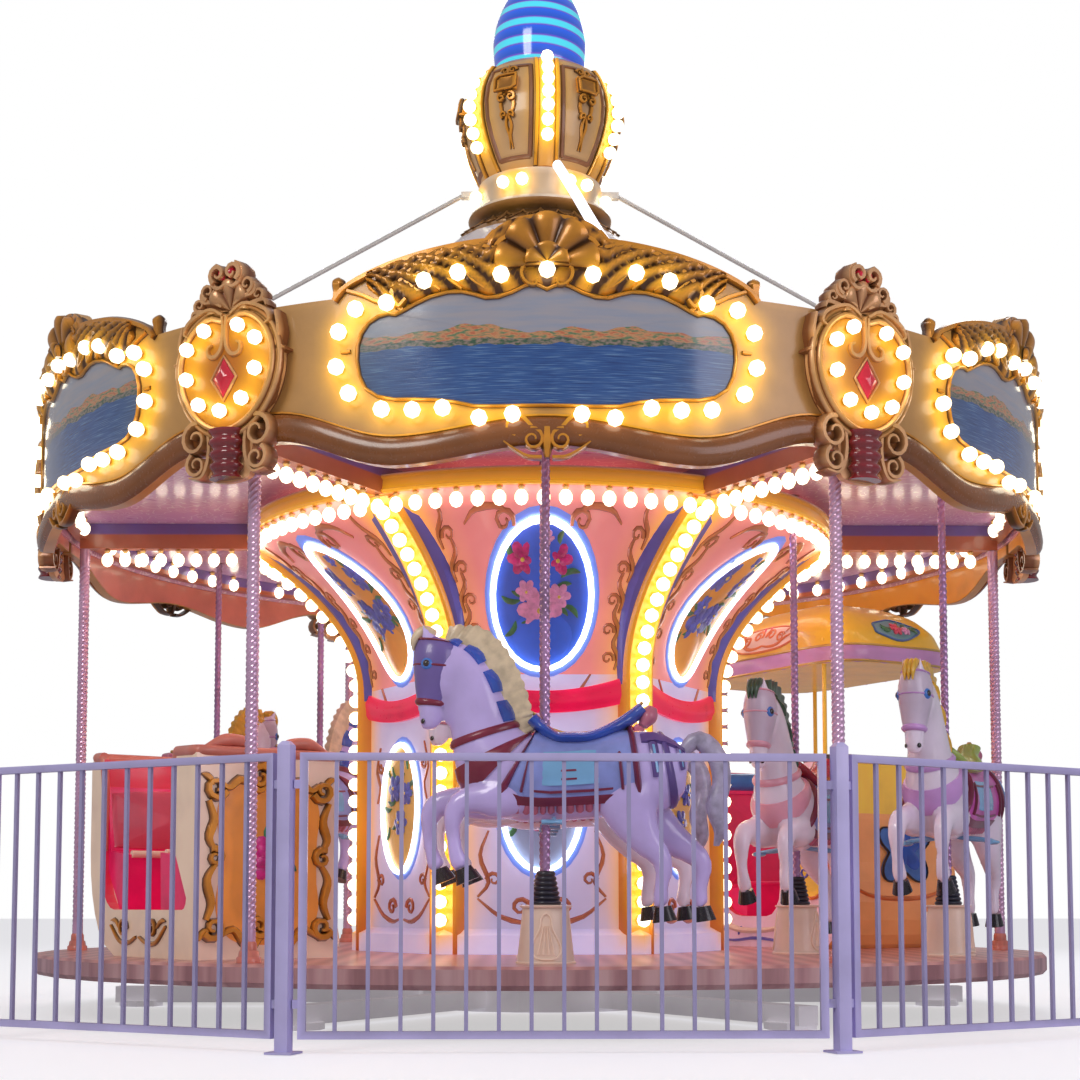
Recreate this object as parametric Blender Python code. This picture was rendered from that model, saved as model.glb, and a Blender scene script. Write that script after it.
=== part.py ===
"""Fairground carousel with six bays, eight rising horses and two carriages.

Metres, +Z up. The origin is on the ground, on the axis of rotation. The front
of the machine faces -Y. A bearing angle is measured from the front towards +X.
"""

import math

import bmesh
import bpy
from mathutils import Matrix, Vector

GAP = 0.0003
BAYS = 6
BAY_ANGLE = 360 / BAYS

DECK_RADIUS = 2.50
DECK_TOP = 0.281
DECK_BOTTOM = 0.19
HUB_RADIUS = 0.45
SPINDLE_RADIUS = 0.12
SPINDLE_SIDES = 72
RUNNING_GAP = 0.006
BASE_TOP = 0.125
BASE_REACH = 2.15

COLUMN_RADIUS = 0.91
COLUMN_SPLIT = 1.60
CEILING_BOTTOM = 2.35
FLARE_RADIUS = 1.48
BEAM_TOP = 2.48
CEILING_TOP = 2.50
BEAM_WIDTH = 0.06
RING_INNER = 2.35
RING_OUTER = 2.41
RING_BOTTOM = 2.40

POLE_RING = 2.36
POLE_RADIUS = 0.0275
POLE_FOOT_RADIUS = 0.05

BOARD_INNER = 2.44
BOARD_THICKNESS = 0.05
BOARD_HALF_ANGLE = 29.6
BOARD_TOP = 2.88
BOARD_FOOT_MIDDLE = 2.265
BOARD_FOOT_LOW = 2.20
BOARD_FOOT_END = 2.335
CREST_RISE = 0.205
CREST_SHARE = 0.655
SHELL_RISE = 0.085
SHELL_SHARE = 0.17
CARTOUCHE_WIDTH = 0.50
CARTOUCHE_BOTTOM = 2.19
CARTOUCHE_TOP = 3.09
CARTOUCHE_DEPTH = 0.09

ROOF_EDGE_RADIUS = 2.435
ROOF_EDGE_HEIGHT = 2.86
ROOF_TOP_RADIUS = 0.46
ROOF_TOP_HEIGHT = 3.92
ROOF_THICKNESS = 0.02
MAST_RADIUS = 0.10

NECK_BOTTOM = ROOF_TOP_HEIGHT + ROOF_THICKNESS + GAP
NECK_RADIUS = 0.31
NECK_TOP = 4.28
CROWN_TOP = 4.87
DOME_TOP = 5.62
STRING_TOP = 4.25
STRING_FOOT = 3.10

HORSE_OUTER_RING = 2.13
HORSE_INNER_RING = 1.40
HORSE_POLE_RADIUS = 0.019
HORSE_POLE_BOTTOM = 0.40
HORSE_POLE_TOP = 2.70
PEDESTAL_TOP = 0.51
BELLOWS_TOP = 0.645
PEDESTAL_BORE = HORSE_POLE_RADIUS + 0.0006
CEILING_HOLE = 0.034

FENCE_RING = 3.13
FENCE_TURN = 1.0
FENCE_MAIN_ANGLE = 36
FENCE_SIDE_ANGLE = 27.2
FENCE_SIDE_BAYS = 3
FENCE_MAIN_BARS = 15
FENCE_SIDE_BARS = 11
FENCE_TOP = 1.04
FENCE_FOOT = 0.05
FENCE_BAR = 0.014
POST_SIZE = 0.048
POST_TOP = 1.08

CHARIOT_BEARING = -55
CHARIOT_RING = 1.84
CHARIOT_LENGTH = 1.15
CHARIOT_WIDTH = 0.68
CARRIAGE_RING = 1.80
CARRIAGE_LENGTH = 1.35
CARRIAGE_FORWARD = 0.06
CARRIAGE_WIDTH = 0.78
WALL = 0.03

HORSE_BAYS = {"front": 0.0, "right": 60.0, "back": 180.0, "left_back": -120.0}
OUTER_LIFT = {"front": 0.0, "right": -0.035, "back": -0.04, "left_back": 0.05}
INNER_LIFT = {"front": 0.0, "right": -0.075, "back": -0.04, "left_back": 0.05}


def clear_scene():
    """Remove every object that is already in the scene."""
    for item in list(bpy.data.objects):
        bpy.data.objects.remove(item, do_unlink=True)


def material(name, colour, roughness, metallic=0.0):
    """A Principled material with a plain colour."""
    made = bpy.data.materials.new(name)
    made.use_nodes = True
    shader = made.node_tree.nodes["Principled BSDF"]
    shader.inputs["Base Color"].default_value = (*colour, 1.0)
    shader.inputs["Roughness"].default_value = roughness
    shader.inputs["Metallic"].default_value = metallic
    made.diffuse_color = (*colour, 1.0)
    return made


def place(name, mesh, finish, smooth=False):
    """Link a mesh to the scene as one named object."""
    mesh.name = name
    mesh.materials.clear()
    mesh.materials.append(finish)
    if smooth:
        mesh.shade_smooth()
        mesh.set_sharp_from_angle(angle=math.radians(35))
    item = bpy.data.objects.new(name, mesh)
    bpy.context.scene.collection.objects.link(item)
    return item


def guide(mesh):
    """A helper object that only shapes others and is left out of the model."""
    item = bpy.data.objects.new("guide", mesh)
    item.hide_render = True
    item.display_type = "WIRE"
    bpy.context.scene.collection.objects.link(item)
    return item


def mesh_from(bm):
    """Turn a bmesh into a mesh with outward faces."""
    bmesh.ops.recalc_face_normals(bm, faces=bm.faces)
    mesh = bpy.data.meshes.new("shape")
    bm.to_mesh(mesh)
    bm.free()
    return mesh


def combine(mesh, others, operation="UNION"):
    """Join or cut a mesh with others, and give the result as a new mesh."""
    base = guide(mesh)
    helpers = [guide(other) for other in others]
    for helper in helpers:
        step = base.modifiers.new("combine", "BOOLEAN")
        step.operation = operation
        step.solver = "EXACT"
        step.object = helper
    bpy.context.view_layer.update()
    graph = bpy.context.evaluated_depsgraph_get()
    result = bpy.data.meshes.new_from_object(base.evaluated_get(graph))
    for helper in [base, *helpers]:
        bpy.data.objects.remove(helper, do_unlink=True)
    return result


def loft(rings, closed_ends=True):
    """A closed body through rings of points, all with the same count."""
    bm = bmesh.new()
    rows = [[bm.verts.new(point) for point in ring] for ring in rings]
    count = len(rows[0])
    for lower, upper in zip(rows, rows[1:]):
        for k in range(count):
            n = (k + 1) % count
            bm.faces.new((lower[k], lower[n], upper[n], upper[k]))
    if closed_ends:
        bm.faces.new(list(reversed(rows[0])))
        bm.faces.new(rows[-1])
    else:
        for k in range(count):
            n = (k + 1) % count
            bm.faces.new((rows[-1][k], rows[-1][n], rows[0][n], rows[0][k]))
    return mesh_from(bm)


def circle(radius, height, count, turn=0.0):
    """Points of a level regular polygon round the axis."""
    angles = [math.radians(turn) + math.tau * k / count for k in range(count)]
    return [(radius * math.cos(a), radius * math.sin(a), height) for a in angles]


def turned(profile, count, turn=0.0):
    """A solid body of revolution from (radius, height) pairs, lowest first."""
    return loft([circle(r, z, count, turn) for r, z in profile])


def sleeve(profile, count, turn=0.0):
    """A ring body from a closed (radius, height) outline."""
    return loft([circle(r, z, count, turn) for r, z in profile], closed_ends=False)


def block(low, high):
    """A box between two corners."""
    bm = bmesh.new()
    bmesh.ops.create_cube(bm, size=1.0)
    size = [b - a for a, b in zip(low, high)]
    middle = [(a + b) / 2 for a, b in zip(low, high)]
    bmesh.ops.scale(bm, vec=size, verts=bm.verts)
    bmesh.ops.translate(bm, vec=middle, verts=bm.verts)
    return mesh_from(bm)


def prism(outline, low, high):
    """An (x, z) outline carried along Y from low to high."""
    return loft([[(x, y, z) for x, z in outline] for y in (low, high)])


def moved(mesh, matrix):
    """Move a mesh's points by a matrix and give it back."""
    mesh.transform(matrix)
    return mesh


def tube(points, radii, count):
    """A body with round sections square to a path, with flat ends."""
    path = [Vector(p) for p in points]
    rings = []
    for k, point in enumerate(path):
        ahead = path[min(k + 1, len(path) - 1)]
        behind = path[max(k - 1, 0)]
        run = (ahead - behind).normalized()
        side = run.cross(Vector((0, 1, 0)))
        if side.length < 0.2:
            side = run.cross(Vector((1, 0, 0)))
        side.normalize()
        up = side.cross(run).normalized()
        wide, high = radii[k] if isinstance(radii[k], tuple) else (radii[k], radii[k])
        ring = []
        for n in range(count):
            angle = math.tau * (n + 0.5) / count
            ring.append(point + up * wide * math.cos(angle) + side * high * math.sin(angle))
        rings.append(ring)
    return loft(rings)


def bearing_point(bearing, radius, height=0.0):
    """The point at a bearing angle, a radius and a height."""
    angle = math.radians(bearing)
    return Vector((radius * math.sin(angle), -radius * math.cos(angle), height))


def travel_turn(bearing):
    """The turn about Z that points local +X along the travel of the ride."""
    return math.radians(bearing) + math.pi


def travel_matrix(bearing, radius):
    """Local +X along the travel, local +Y outwards, at a radius."""
    spot = Matrix.Translation(bearing_point(bearing, radius))
    return spot @ Matrix.Rotation(travel_turn(bearing), 4, "Z")


def outward_matrix(bearing):
    """Local -Y outwards at a bearing angle."""
    return Matrix.Rotation(math.radians(bearing), 4, "Z")


def make_base(finishes):
    """Fixed frame under the deck, with the spindle that the ride turns on."""
    hub = turned([(0.62, 0.0), (0.62, 0.10), (0.40, 0.10), (0.40, BASE_TOP)], 18)
    spindle = turned([(SPINDLE_RADIUS, 0.05), (SPINDLE_RADIUS, DECK_TOP - 0.03)], SPINDLE_SIDES)
    arms = []
    for bay in range(BAYS):
        arm = block((-0.05, -BASE_REACH, 0.02), (0.05, -0.3, 0.10))
        pad = moved(turned([(0.11, 0.0), (0.11, 0.03)], 8), Matrix.Translation((0, 0.12 - BASE_REACH, 0)))
        turn = outward_matrix(30 + bay * BAY_ANGLE)
        arms += [moved(arm, turn), moved(pad, turn)]
    return place("base_frame", combine(hub, [spindle, *arms]), finishes["steel"])


def make_deck(finishes):
    """Turning floor with its bearing hub below and a blind spindle bore."""
    low = BASE_TOP + RUNNING_GAP
    # The flats of the bore clear the corners of the spindle at every angle of the ride.
    bore = (SPINDLE_RADIUS + 0.0005) / math.cos(math.pi / SPINDLE_SIDES)
    body = turned([(HUB_RADIUS, low), (HUB_RADIUS, DECK_BOTTOM), (DECK_RADIUS - 0.02, DECK_BOTTOM),
                   (DECK_RADIUS, DECK_BOTTOM + 0.02), (DECK_RADIUS, DECK_TOP - 0.012),
                   (DECK_RADIUS - 0.012, DECK_TOP)], 36)
    cut = turned([(bore, low - 0.1), (bore, DECK_TOP - 0.03 + RUNNING_GAP)], SPINDLE_SIDES)
    return place("deck", combine(body, [cut], "DIFFERENCE"), finishes["deck"])


def flare_ring(share, height):
    """Ring of the flare: a hexagon at share 0 that swells into a circle at share 1."""
    radius = COLUMN_RADIUS + (FLARE_RADIUS - COLUMN_RADIUS) * share ** 2
    points = []
    for k in range(36):
        from_middle = math.radians(k * 10 % BAY_ANGLE - BAY_ANGLE / 2)
        flat = math.cos(math.radians(BAY_ANGLE / 2)) / math.cos(from_middle)
        reach = radius * (flat + (1 - flat) * share ** 2)
        angle = math.radians(k * 10)
        points.append((reach * math.cos(angle), reach * math.sin(angle), height))
    return points


def pole_hole(bearing, ring):
    """Cutter of the clearance hole round a horse pole near the ceiling."""
    hole = turned([(CEILING_HOLE, 2.0), (CEILING_HOLE, 2.6)], 8)
    return moved(hole, Matrix.Translation(bearing_point(bearing, ring)))


def make_column(finishes):
    """Hexagonal centre housing and the trumpet flare above it, with room for the inner horse poles."""
    lower = [(COLUMN_RADIUS + 0.05, DECK_TOP + GAP), (COLUMN_RADIUS + 0.05, 0.36),
             (COLUMN_RADIUS, 0.40), (COLUMN_RADIUS, COLUMN_SPLIT)]
    # The corners of the housing lie on the same bearings as the sweep beams.
    place("column_lower", turned(lower, BAYS), finishes["pink_panel"])
    rings = [flare_ring(0.0, COLUMN_SPLIT + GAP)]
    steps = 7
    for k in range(1, steps + 1):
        rings.append(flare_ring(k / steps, COLUMN_SPLIT + (CEILING_BOTTOM - COLUMN_SPLIT) * k / steps))
    holes = [pole_hole(bearing, HORSE_INNER_RING) for bearing in HORSE_BAYS.values()]
    place("column_flare", combine(loft(rings), holes, "DIFFERENCE"), finishes["pink_panel"])


def make_ceiling(finishes):
    """Sweep beams with their rim ring, and the ceiling disc with its pole holes."""
    low = CEILING_BOTTOM + GAP
    rim = sleeve([(RING_INNER, RING_BOTTOM), (RING_OUTER, RING_BOTTOM), (RING_OUTER, BEAM_TOP),
                  (RING_INNER, BEAM_TOP)], 36)
    half = BEAM_WIDTH / 2
    beams = []
    for bay in range(BAYS):
        beam = block((-half, -2.38, low), (half, -0.02, BEAM_TOP))
        beams.append(moved(beam, outward_matrix(30 + bay * BAY_ANGLE)))
    place("sweep_frame", combine(rim, beams), finishes["orange"])

    edge = BOARD_INNER - 3 * GAP
    disc = turned([(edge, BEAM_TOP + GAP), (edge, CEILING_TOP)], 36)
    holes = []
    for bearing in HORSE_BAYS.values():
        holes += [pole_hole(bearing, HORSE_OUTER_RING), pole_hole(bearing, HORSE_INNER_RING)]
    place("ceiling_disc", combine(disc, holes, "DIFFERENCE"), finishes["lilac"])


def make_poles(finishes):
    """Six poles between the deck and the sweep beams, on stepped feet."""
    foot, pole = POLE_FOOT_RADIUS, POLE_RADIUS
    profile = [(foot, DECK_TOP + GAP), (foot, DECK_TOP + 0.025), (foot - 0.012, DECK_TOP + 0.045),
               (pole + 0.004, DECK_TOP + 0.07), (pole, DECK_TOP + 0.075), (pole, CEILING_BOTTOM)]
    for bay in range(BAYS):
        bearing = -150 + bay * BAY_ANGLE
        mesh = moved(turned(profile, 12), Matrix.Translation(bearing_point(bearing, POLE_RING)))
        place(f"pole_{bay + 1}", mesh, finishes["salmon"], smooth=True)


def board_heights(share):
    """Bottom and top height of a rounding board at -1..1 across its bay."""
    reach = abs(share)
    if reach < 0.45:
        bottom = BOARD_FOOT_MIDDLE - (BOARD_FOOT_MIDDLE - BOARD_FOOT_LOW) * math.sin(math.pi * reach / 0.9) ** 2
    else:
        rise = math.sin(math.pi / 2 * min((reach - 0.45) / 0.42, 1.0)) ** 2
        bottom = BOARD_FOOT_LOW + (BOARD_FOOT_END - BOARD_FOOT_LOW) * rise
    crest = max(0.0, math.cos(0.5 * math.pi * min(reach / CREST_SHARE, 1.0))) ** 0.6
    shell = max(0.0, 1 - (reach / SHELL_SHARE) ** 2) ** 0.5
    return bottom, BOARD_TOP + CREST_RISE * crest + SHELL_RISE * shell


def make_boards(finishes):
    """Six curved rounding boards, each with a waved foot and a raised crest."""
    columns = 36
    for bay in range(BAYS):
        centre = -120 + bay * BAY_ANGLE
        rings = []
        for k in range(columns + 1):
            share = -1 + 2 * k / columns
            low, high = board_heights(share)
            bearing = centre + BOARD_HALF_ANGLE * share
            inner, outer = BOARD_INNER, BOARD_INNER + BOARD_THICKNESS
            rings.append([bearing_point(bearing, inner, low), bearing_point(bearing, outer, low),
                          bearing_point(bearing, outer, high), bearing_point(bearing, inner, high)])
        place(f"rounding_board_{bay + 1}", loft(rings), finishes["cream"])


def cartouche_outline():
    """Half outline of a cartouche, (half width, height) from bottom to top."""
    full = CARTOUCHE_WIDTH / 2
    span = CARTOUCHE_TOP - CARTOUCHE_BOTTOM
    shares = [(0.42, 0.0), (0.70, 0.05), (0.78, 0.18), (0.66, 0.26), (0.86, 0.36), (1.0, 0.52),
              (1.0, 0.66), (0.88, 0.75), (0.62, 0.80), (0.58, 0.90), (0.36, 0.98)]
    return [(full * wide, CARTOUCHE_BOTTOM + span * up) for wide, up in shares]


def make_cartouches(finishes):
    """Six shield ornaments over the joints between the boards."""
    right = cartouche_outline()
    outline = right + [(0.0, CARTOUCHE_TOP)] + [(-x, z) for x, z in reversed(right)]
    back = -(BOARD_INNER + BOARD_THICKNESS + GAP)
    for bay in range(BAYS):
        mesh = prism(outline, back - CARTOUCHE_DEPTH, back)
        place(f"cartouche_{bay + 1}", moved(mesh, outward_matrix(-150 + bay * BAY_ANGLE)), finishes["gold"])


def make_roof(finishes):
    """Conical roof shell between the boards and the neck, and the mast inside."""
    drop = ROOF_THICKNESS
    profile = [(ROOF_EDGE_RADIUS, ROOF_EDGE_HEIGHT), (ROOF_EDGE_RADIUS, ROOF_EDGE_HEIGHT + drop),
               (1.50, 3.27), (0.95, 3.53), (ROOF_TOP_RADIUS, ROOF_TOP_HEIGHT + drop),
               (MAST_RADIUS + GAP, ROOF_TOP_HEIGHT + drop),
               (MAST_RADIUS + GAP, ROOF_TOP_HEIGHT - 0.01), (ROOF_TOP_RADIUS - 0.02, ROOF_TOP_HEIGHT - 0.01),
               (0.945, 3.505), (1.49, 3.245)]
    place("roof", sleeve(profile, 24), finishes["red"], smooth=True)
    mast = turned([(0.16, CEILING_TOP + GAP), (0.16, CEILING_TOP + 0.05), (MAST_RADIUS, CEILING_TOP + 0.06),
                   (MAST_RADIUS, ROOF_TOP_HEIGHT + ROOF_THICKNESS)], 24)
    place("centre_mast", mast, finishes["steel"], smooth=True)


def make_crown(finishes):
    """Neck with its flared skirt, the ribbed crown body and the light dome."""
    neck = [(0.46, NECK_BOTTOM), (0.44, NECK_BOTTOM + 0.03), (0.33, 4.05), (0.33, 4.075), (0.37, 4.09),
            (0.37, 4.115), (NECK_RADIUS, 4.15), (NECK_RADIUS, NECK_TOP)]
    place("crown_neck", turned(neck, 18), finishes["gold"], smooth=True)
    span = CROWN_TOP - NECK_TOP
    shares = [(0.295, 0.0), (0.335, 0.12), (0.375, 0.28), (0.402, 0.44), (0.408, 0.60), (0.396, 0.74),
              (0.368, 0.86), (0.340, 0.94), (0.290, 1.0)]
    crown = [(radius, NECK_TOP + GAP + (span - GAP) * share) for radius, share in shares]
    place("crown_body", turned(crown, 18), finishes["cream"], smooth=True)
    dome = [(0.225, CROWN_TOP + GAP), (0.243, CROWN_TOP + 0.10), (0.248, CROWN_TOP + 0.19), (0.235, CROWN_TOP + 0.28),
            (0.205, CROWN_TOP + 0.37), (0.165, CROWN_TOP + 0.45), (0.115, CROWN_TOP + 0.53),
            (0.065, CROWN_TOP + 0.61), (0.030, CROWN_TOP + 0.68), (0.012, DOME_TOP)]
    place("light_dome", turned(dome, 18), finishes["blue"], smooth=True)
    for side, name in ((-90, "left"), (90, "right")):
        ends = [bearing_point(side, 0.40, STRING_TOP), bearing_point(side, 2.45, STRING_FOOT)]
        bar = tube(ends, [0.012, 0.012], 6)
        outer = BOARD_INNER + BOARD_THICKNESS - 0.002
        foot = moved(block((-0.02, -outer, BOARD_TOP + GAP), (0.02, -BOARD_INNER, STRING_FOOT + 0.02)),
                     outward_matrix(side))
        clip = moved(block((-0.02, -0.415, STRING_TOP - 0.02), (0.02, -NECK_RADIUS - GAP, STRING_TOP + 0.012)),
                     outward_matrix(side))
        place(f"light_string_{name}", combine(bar, [foot, clip]), finishes["steel"])


def horse_body():
    """Rump, barrel, neck and head as one swept body of oval sections."""
    path = [(-0.49, 0, 1.00), (-0.45, 0, 1.01), (-0.36, 0, 1.02), (-0.16, 0, 0.99), (0.08, 0, 0.985),
            (0.24, 0, 1.04), (0.34, 0, 1.17), (0.385, 0, 1.29), (0.42, 0, 1.40), (0.47, 0, 1.48),
            (0.53, 0, 1.47), (0.575, 0, 1.35), (0.60, 0, 1.25), (0.605, 0, 1.21)]
    sizes = [(0.05, 0.06), (0.10, 0.12), (0.14, 0.14), (0.13, 0.12), (0.13, 0.12), (0.13, 0.15),
             (0.10, 0.14), (0.08, 0.12), (0.065, 0.10), (0.06, 0.085), (0.062, 0.08), (0.05, 0.06),
             (0.04, 0.045), (0.025, 0.03)]
    return tube(path, sizes, 8)


def horse_legs():
    """Four legs in a gallop: the front pair folded, the back pair stretched."""
    legs = []
    for side in (-1, 1):
        reach = 0.05 * side
        front = [(0.20, 0.07 * side, 1.00), (0.27 + reach, 0.085 * side, 0.86), (0.43 + reach, 0.085 * side, 0.83),
                 (0.42 + reach, 0.08 * side, 0.66), (0.46 + reach, 0.08 * side, 0.57)]
        legs.append(tube(front, [0.06, 0.055, 0.038, 0.026, 0.036], 5))
        hind = [(-0.34, 0.07 * side, 0.98), (-0.34 + reach, 0.085 * side, 0.80), (-0.43 + reach, 0.085 * side, 0.66),
                (-0.47 + reach, 0.08 * side, 0.54), (-0.55 + reach, 0.08 * side, 0.45)]
        legs.append(tube(hind, [0.09, 0.065, 0.035, 0.027, 0.036], 5))
    return legs


def horse_trim():
    """Mane comb, ears, tail, saddle with its cantle, and the foot bars."""
    mane = tube([(0.22, 0, 1.17), (0.27, 0, 1.32), (0.34, 0, 1.48), (0.45, 0, 1.565)],
                [(0.025, 0.06), (0.025, 0.075), (0.025, 0.075), (0.02, 0.03)], 5)
    ears = [tube([(0.48, 0.03 * s, 1.53), (0.485, 0.04 * s, 1.60)], [0.022, 0.008], 4) for s in (-1, 1)]
    tail = tube([(-0.46, 0, 1.02), (-0.56, 0, 1.04), (-0.62, 0, 0.92), (-0.595, 0, 0.64)],
                [0.03, 0.05, 0.06, 0.02], 6)
    seat = prism([(-0.22, 1.02), (0.12, 1.02), (0.16, 1.19), (0.12, 1.165), (0.0, 1.14), (-0.14, 1.15),
                  (-0.22, 1.22), (-0.27, 1.20)], -0.135, 0.135)
    bar = tube([(0.0, -0.24, 0.83), (0.0, 0.24, 0.83)], [0.012, 0.012], 4)
    return [mane, *ears, tail, seat, bar]


def horse_mesh():
    """A whole horse on its pole, with the pole's axis on local Z."""
    pole = turned([(HORSE_POLE_RADIUS, HORSE_POLE_BOTTOM), (HORSE_POLE_RADIUS, HORSE_POLE_TOP)], 8)
    return combine(horse_body(), [*horse_legs(), *horse_trim(), pole])


def make_horses(finishes):
    """Eight horses, each on the pole that carries it up and down."""
    shape = horse_mesh()
    for bay, bearing in HORSE_BAYS.items():
        for row, ring, lift in (("outer", HORSE_OUTER_RING, OUTER_LIFT), ("inner", HORSE_INNER_RING, INNER_LIFT)):
            item = place(f"horse_{bay}_{row}", shape.copy(), finishes["white"], smooth=True)
            item.location = bearing_point(bearing, ring, lift[bay])
            item.rotation_euler = (0, 0, travel_turn(bearing))


def make_pedestals(finishes):
    """A carved pedestal and its bellows round the foot of each horse pole."""
    bore, low = PEDESTAL_BORE, DECK_TOP + GAP
    profile = [(bore, low), (0.118, low), (0.110, low + 0.05), (0.092, 0.43), (0.10, PEDESTAL_TOP),
               (0.055, PEDESTAL_TOP), (0.055, 0.55), (0.036, BELLOWS_TOP), (bore, BELLOWS_TOP)]
    # The bore has as many sides as the horse pole and is turned with it.
    shape = sleeve(profile, 8)
    for bay, bearing in HORSE_BAYS.items():
        for row, ring in (("outer", HORSE_OUTER_RING), ("inner", HORSE_INNER_RING)):
            item = place(f"pedestal_{bay}_{row}", shape.copy(), finishes["cream"], smooth=True)
            item.location = bearing_point(bearing, ring)
            item.rotation_euler = (0, 0, travel_turn(bearing))


def arc(centre, radius_x, radius_z, start, stop, count):
    """Points of an elliptic arc in (x, z), angles in degrees."""
    points = []
    for k in range(count + 1):
        angle = math.radians(start + (stop - start) * k / count)
        points.append((centre[0] + radius_x * math.cos(angle), centre[1] + radius_z * math.sin(angle)))
    return points


def make_chariot(finishes):
    """Cream chariot: a deep tub, open at the top, with a wide doorway and two benches that face each other."""
    half, deep = CHARIOT_LENGTH / 2, CHARIOT_WIDTH / 2
    low = DECK_TOP + GAP
    floor = low + 0.10
    outline = [(-half + 0.01, low), (half - 0.30, low), *arc((half - 0.32, 0.76), 0.32, 0.76 - low, -62, 0, 5),
               (half, 1.17), (half - 0.02, 1.19), (-half, 1.15)]
    inner = [(-half + 0.06, floor), (half - 0.36, floor), (half - 0.06, 0.76), (half - 0.06, 1.30),
             (-half + 0.06, 1.30)]
    tub = prism(outline, -deep, deep)
    cavity = prism(inner, -deep + WALL, deep - WALL)
    doorway = [(-0.33, 1.30), (-0.33, 0.80), (-0.44, 0.62), *arc((-0.45, 0.54), 0.04, 0.05, 180, 270, 3),
               *arc((0.28, 0.66), 0.15, 0.17, 270, 360, 5), (0.43, 1.30)]
    door = prism(doorway, deep - WALL - 0.02, deep + 0.02)
    shell = combine(tub, [cavity, door], "DIFFERENCE")
    place_matrix = travel_matrix(CHARIOT_BEARING, CHARIOT_RING)
    place("chariot_shell", moved(shell, place_matrix), finishes["cream"])
    foot = floor + GAP
    seat = [(-half + 0.065, foot), (half - 0.37, foot), (half - 0.12, 0.70), (half - 0.08, 0.80), (half - 0.08, 1.06),
            (half - 0.12, 1.06), (half - 0.17, 0.76), (0.22, 0.74), (0.19, foot + 0.02), (-0.17, foot + 0.02),
            (-0.15, 0.74), (-half + 0.19, 0.72), (-half + 0.12, 1.06), (-half + 0.065, 1.06)]
    bench = prism(seat, -deep + WALL + 0.001, deep - WALL - 0.001)
    place("chariot_seat", moved(bench, place_matrix), finishes["red"])


def make_carriage(finishes):
    """Roofed carriage: an open hull with a doorway on each side, a seat, and a domed roof on four posts."""
    half, deep = CARRIAGE_LENGTH / 2, CARRIAGE_WIDTH / 2
    low = DECK_TOP + GAP
    outline = [(-half + 0.18, low), (half - 0.22, low), *arc((half - 0.22, 0.62), 0.20, 0.62 - low, -70, 20, 5),
               (half - 0.02, 0.96), (half - 0.03, 1.25), (half - 0.06, 1.28), (half - 0.34, 1.28), (half - 0.38, 0.98),
               (-half + 0.10, 0.98), (-half, 1.00), (-half + 0.02, 0.70)]
    inner = [(-half + 0.22, low + 0.08), (half - 0.24, low + 0.08), (half - 0.07, 0.62), (half - 0.09, 1.40),
             (-half + 0.06, 1.40), (-half + 0.07, 0.70)]
    hull = prism(outline, -deep, deep)
    cavity = prism(inner, -deep + WALL, deep - WALL)
    doorway = [(-0.20, 1.20), *arc((0.04, 0.60), 0.24, 0.12, 180, 360, 8), (0.28, 1.20)]
    door = prism(doorway, deep - WALL - 0.02, deep + 0.02)
    inner_doorway = [(-0.42, 1.20), *arc((-0.22, 0.64), 0.20, 0.19, 180, 270, 5),
                     *arc((0.0, 0.60), 0.12, 0.15, 270, 360, 4), (0.12, 1.20)]
    inner_door = prism(inner_doorway, -deep - 0.02, -deep + WALL + 0.02)
    place_matrix = travel_matrix(120, CARRIAGE_RING) @ Matrix.Translation((CARRIAGE_FORWARD, 0, 0))
    shaped = combine(hull, [cavity, door, inner_door], "DIFFERENCE")
    place("carriage_hull", moved(shaped, place_matrix), finishes["yellow"])

    seat_low = low + 0.08 + GAP
    seat = [(-half + 0.225, seat_low), (-0.22, seat_low), (-0.21, 0.62), (-half + 0.26, 0.60), (-half + 0.14, 1.28),
            (-half + 0.075, 1.28), (-half + 0.08, 0.70)]
    bench = prism(seat, -deep + WALL + 0.001, deep - WALL - 0.001)
    place("carriage_seat", moved(bench, place_matrix), finishes["red"])

    eave, top = 1.79, 2.18
    dome = []
    for height, share in ((eave, 1.0), (eave + 0.09, 1.0), (1.98, 0.93), (2.07, 0.76), (2.14, 0.50), (top, 0.12)):
        ring = []
        for k in range(16):
            angle = math.tau * k / 16
            x = math.copysign(abs(math.cos(angle)) ** 0.4, math.cos(angle))
            y = math.copysign(abs(math.sin(angle)) ** 0.4, math.sin(angle))
            ring.append((x * half * share, y * (deep + 0.02) * share, height))
        dome.append(ring)
    hollow = [[(x * 0.92, y * 0.92, z) for x, y, z in ring] for ring in dome[:4]]
    hollow[0] = [(x, y, eave - 0.05) for x, y, _ in hollow[0]]
    hollow[3] = [(x, y, 2.01) for x, y, _ in hollow[3]]
    shell = combine(loft(dome), [loft(hollow)], "DIFFERENCE")
    posts = []
    for x, foot in ((-0.50, 0.98), (0.50, 1.28)):
        for y in (-deep + 0.0125, deep - 0.0125):
            stem = [(x, y, foot + GAP), (x, y, eave + 0.14)]
            posts.append(tube(stem, [0.012, 0.012], 6))
    place("carriage_roof", moved(combine(shell, posts), place_matrix), finishes["yellow"])


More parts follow.
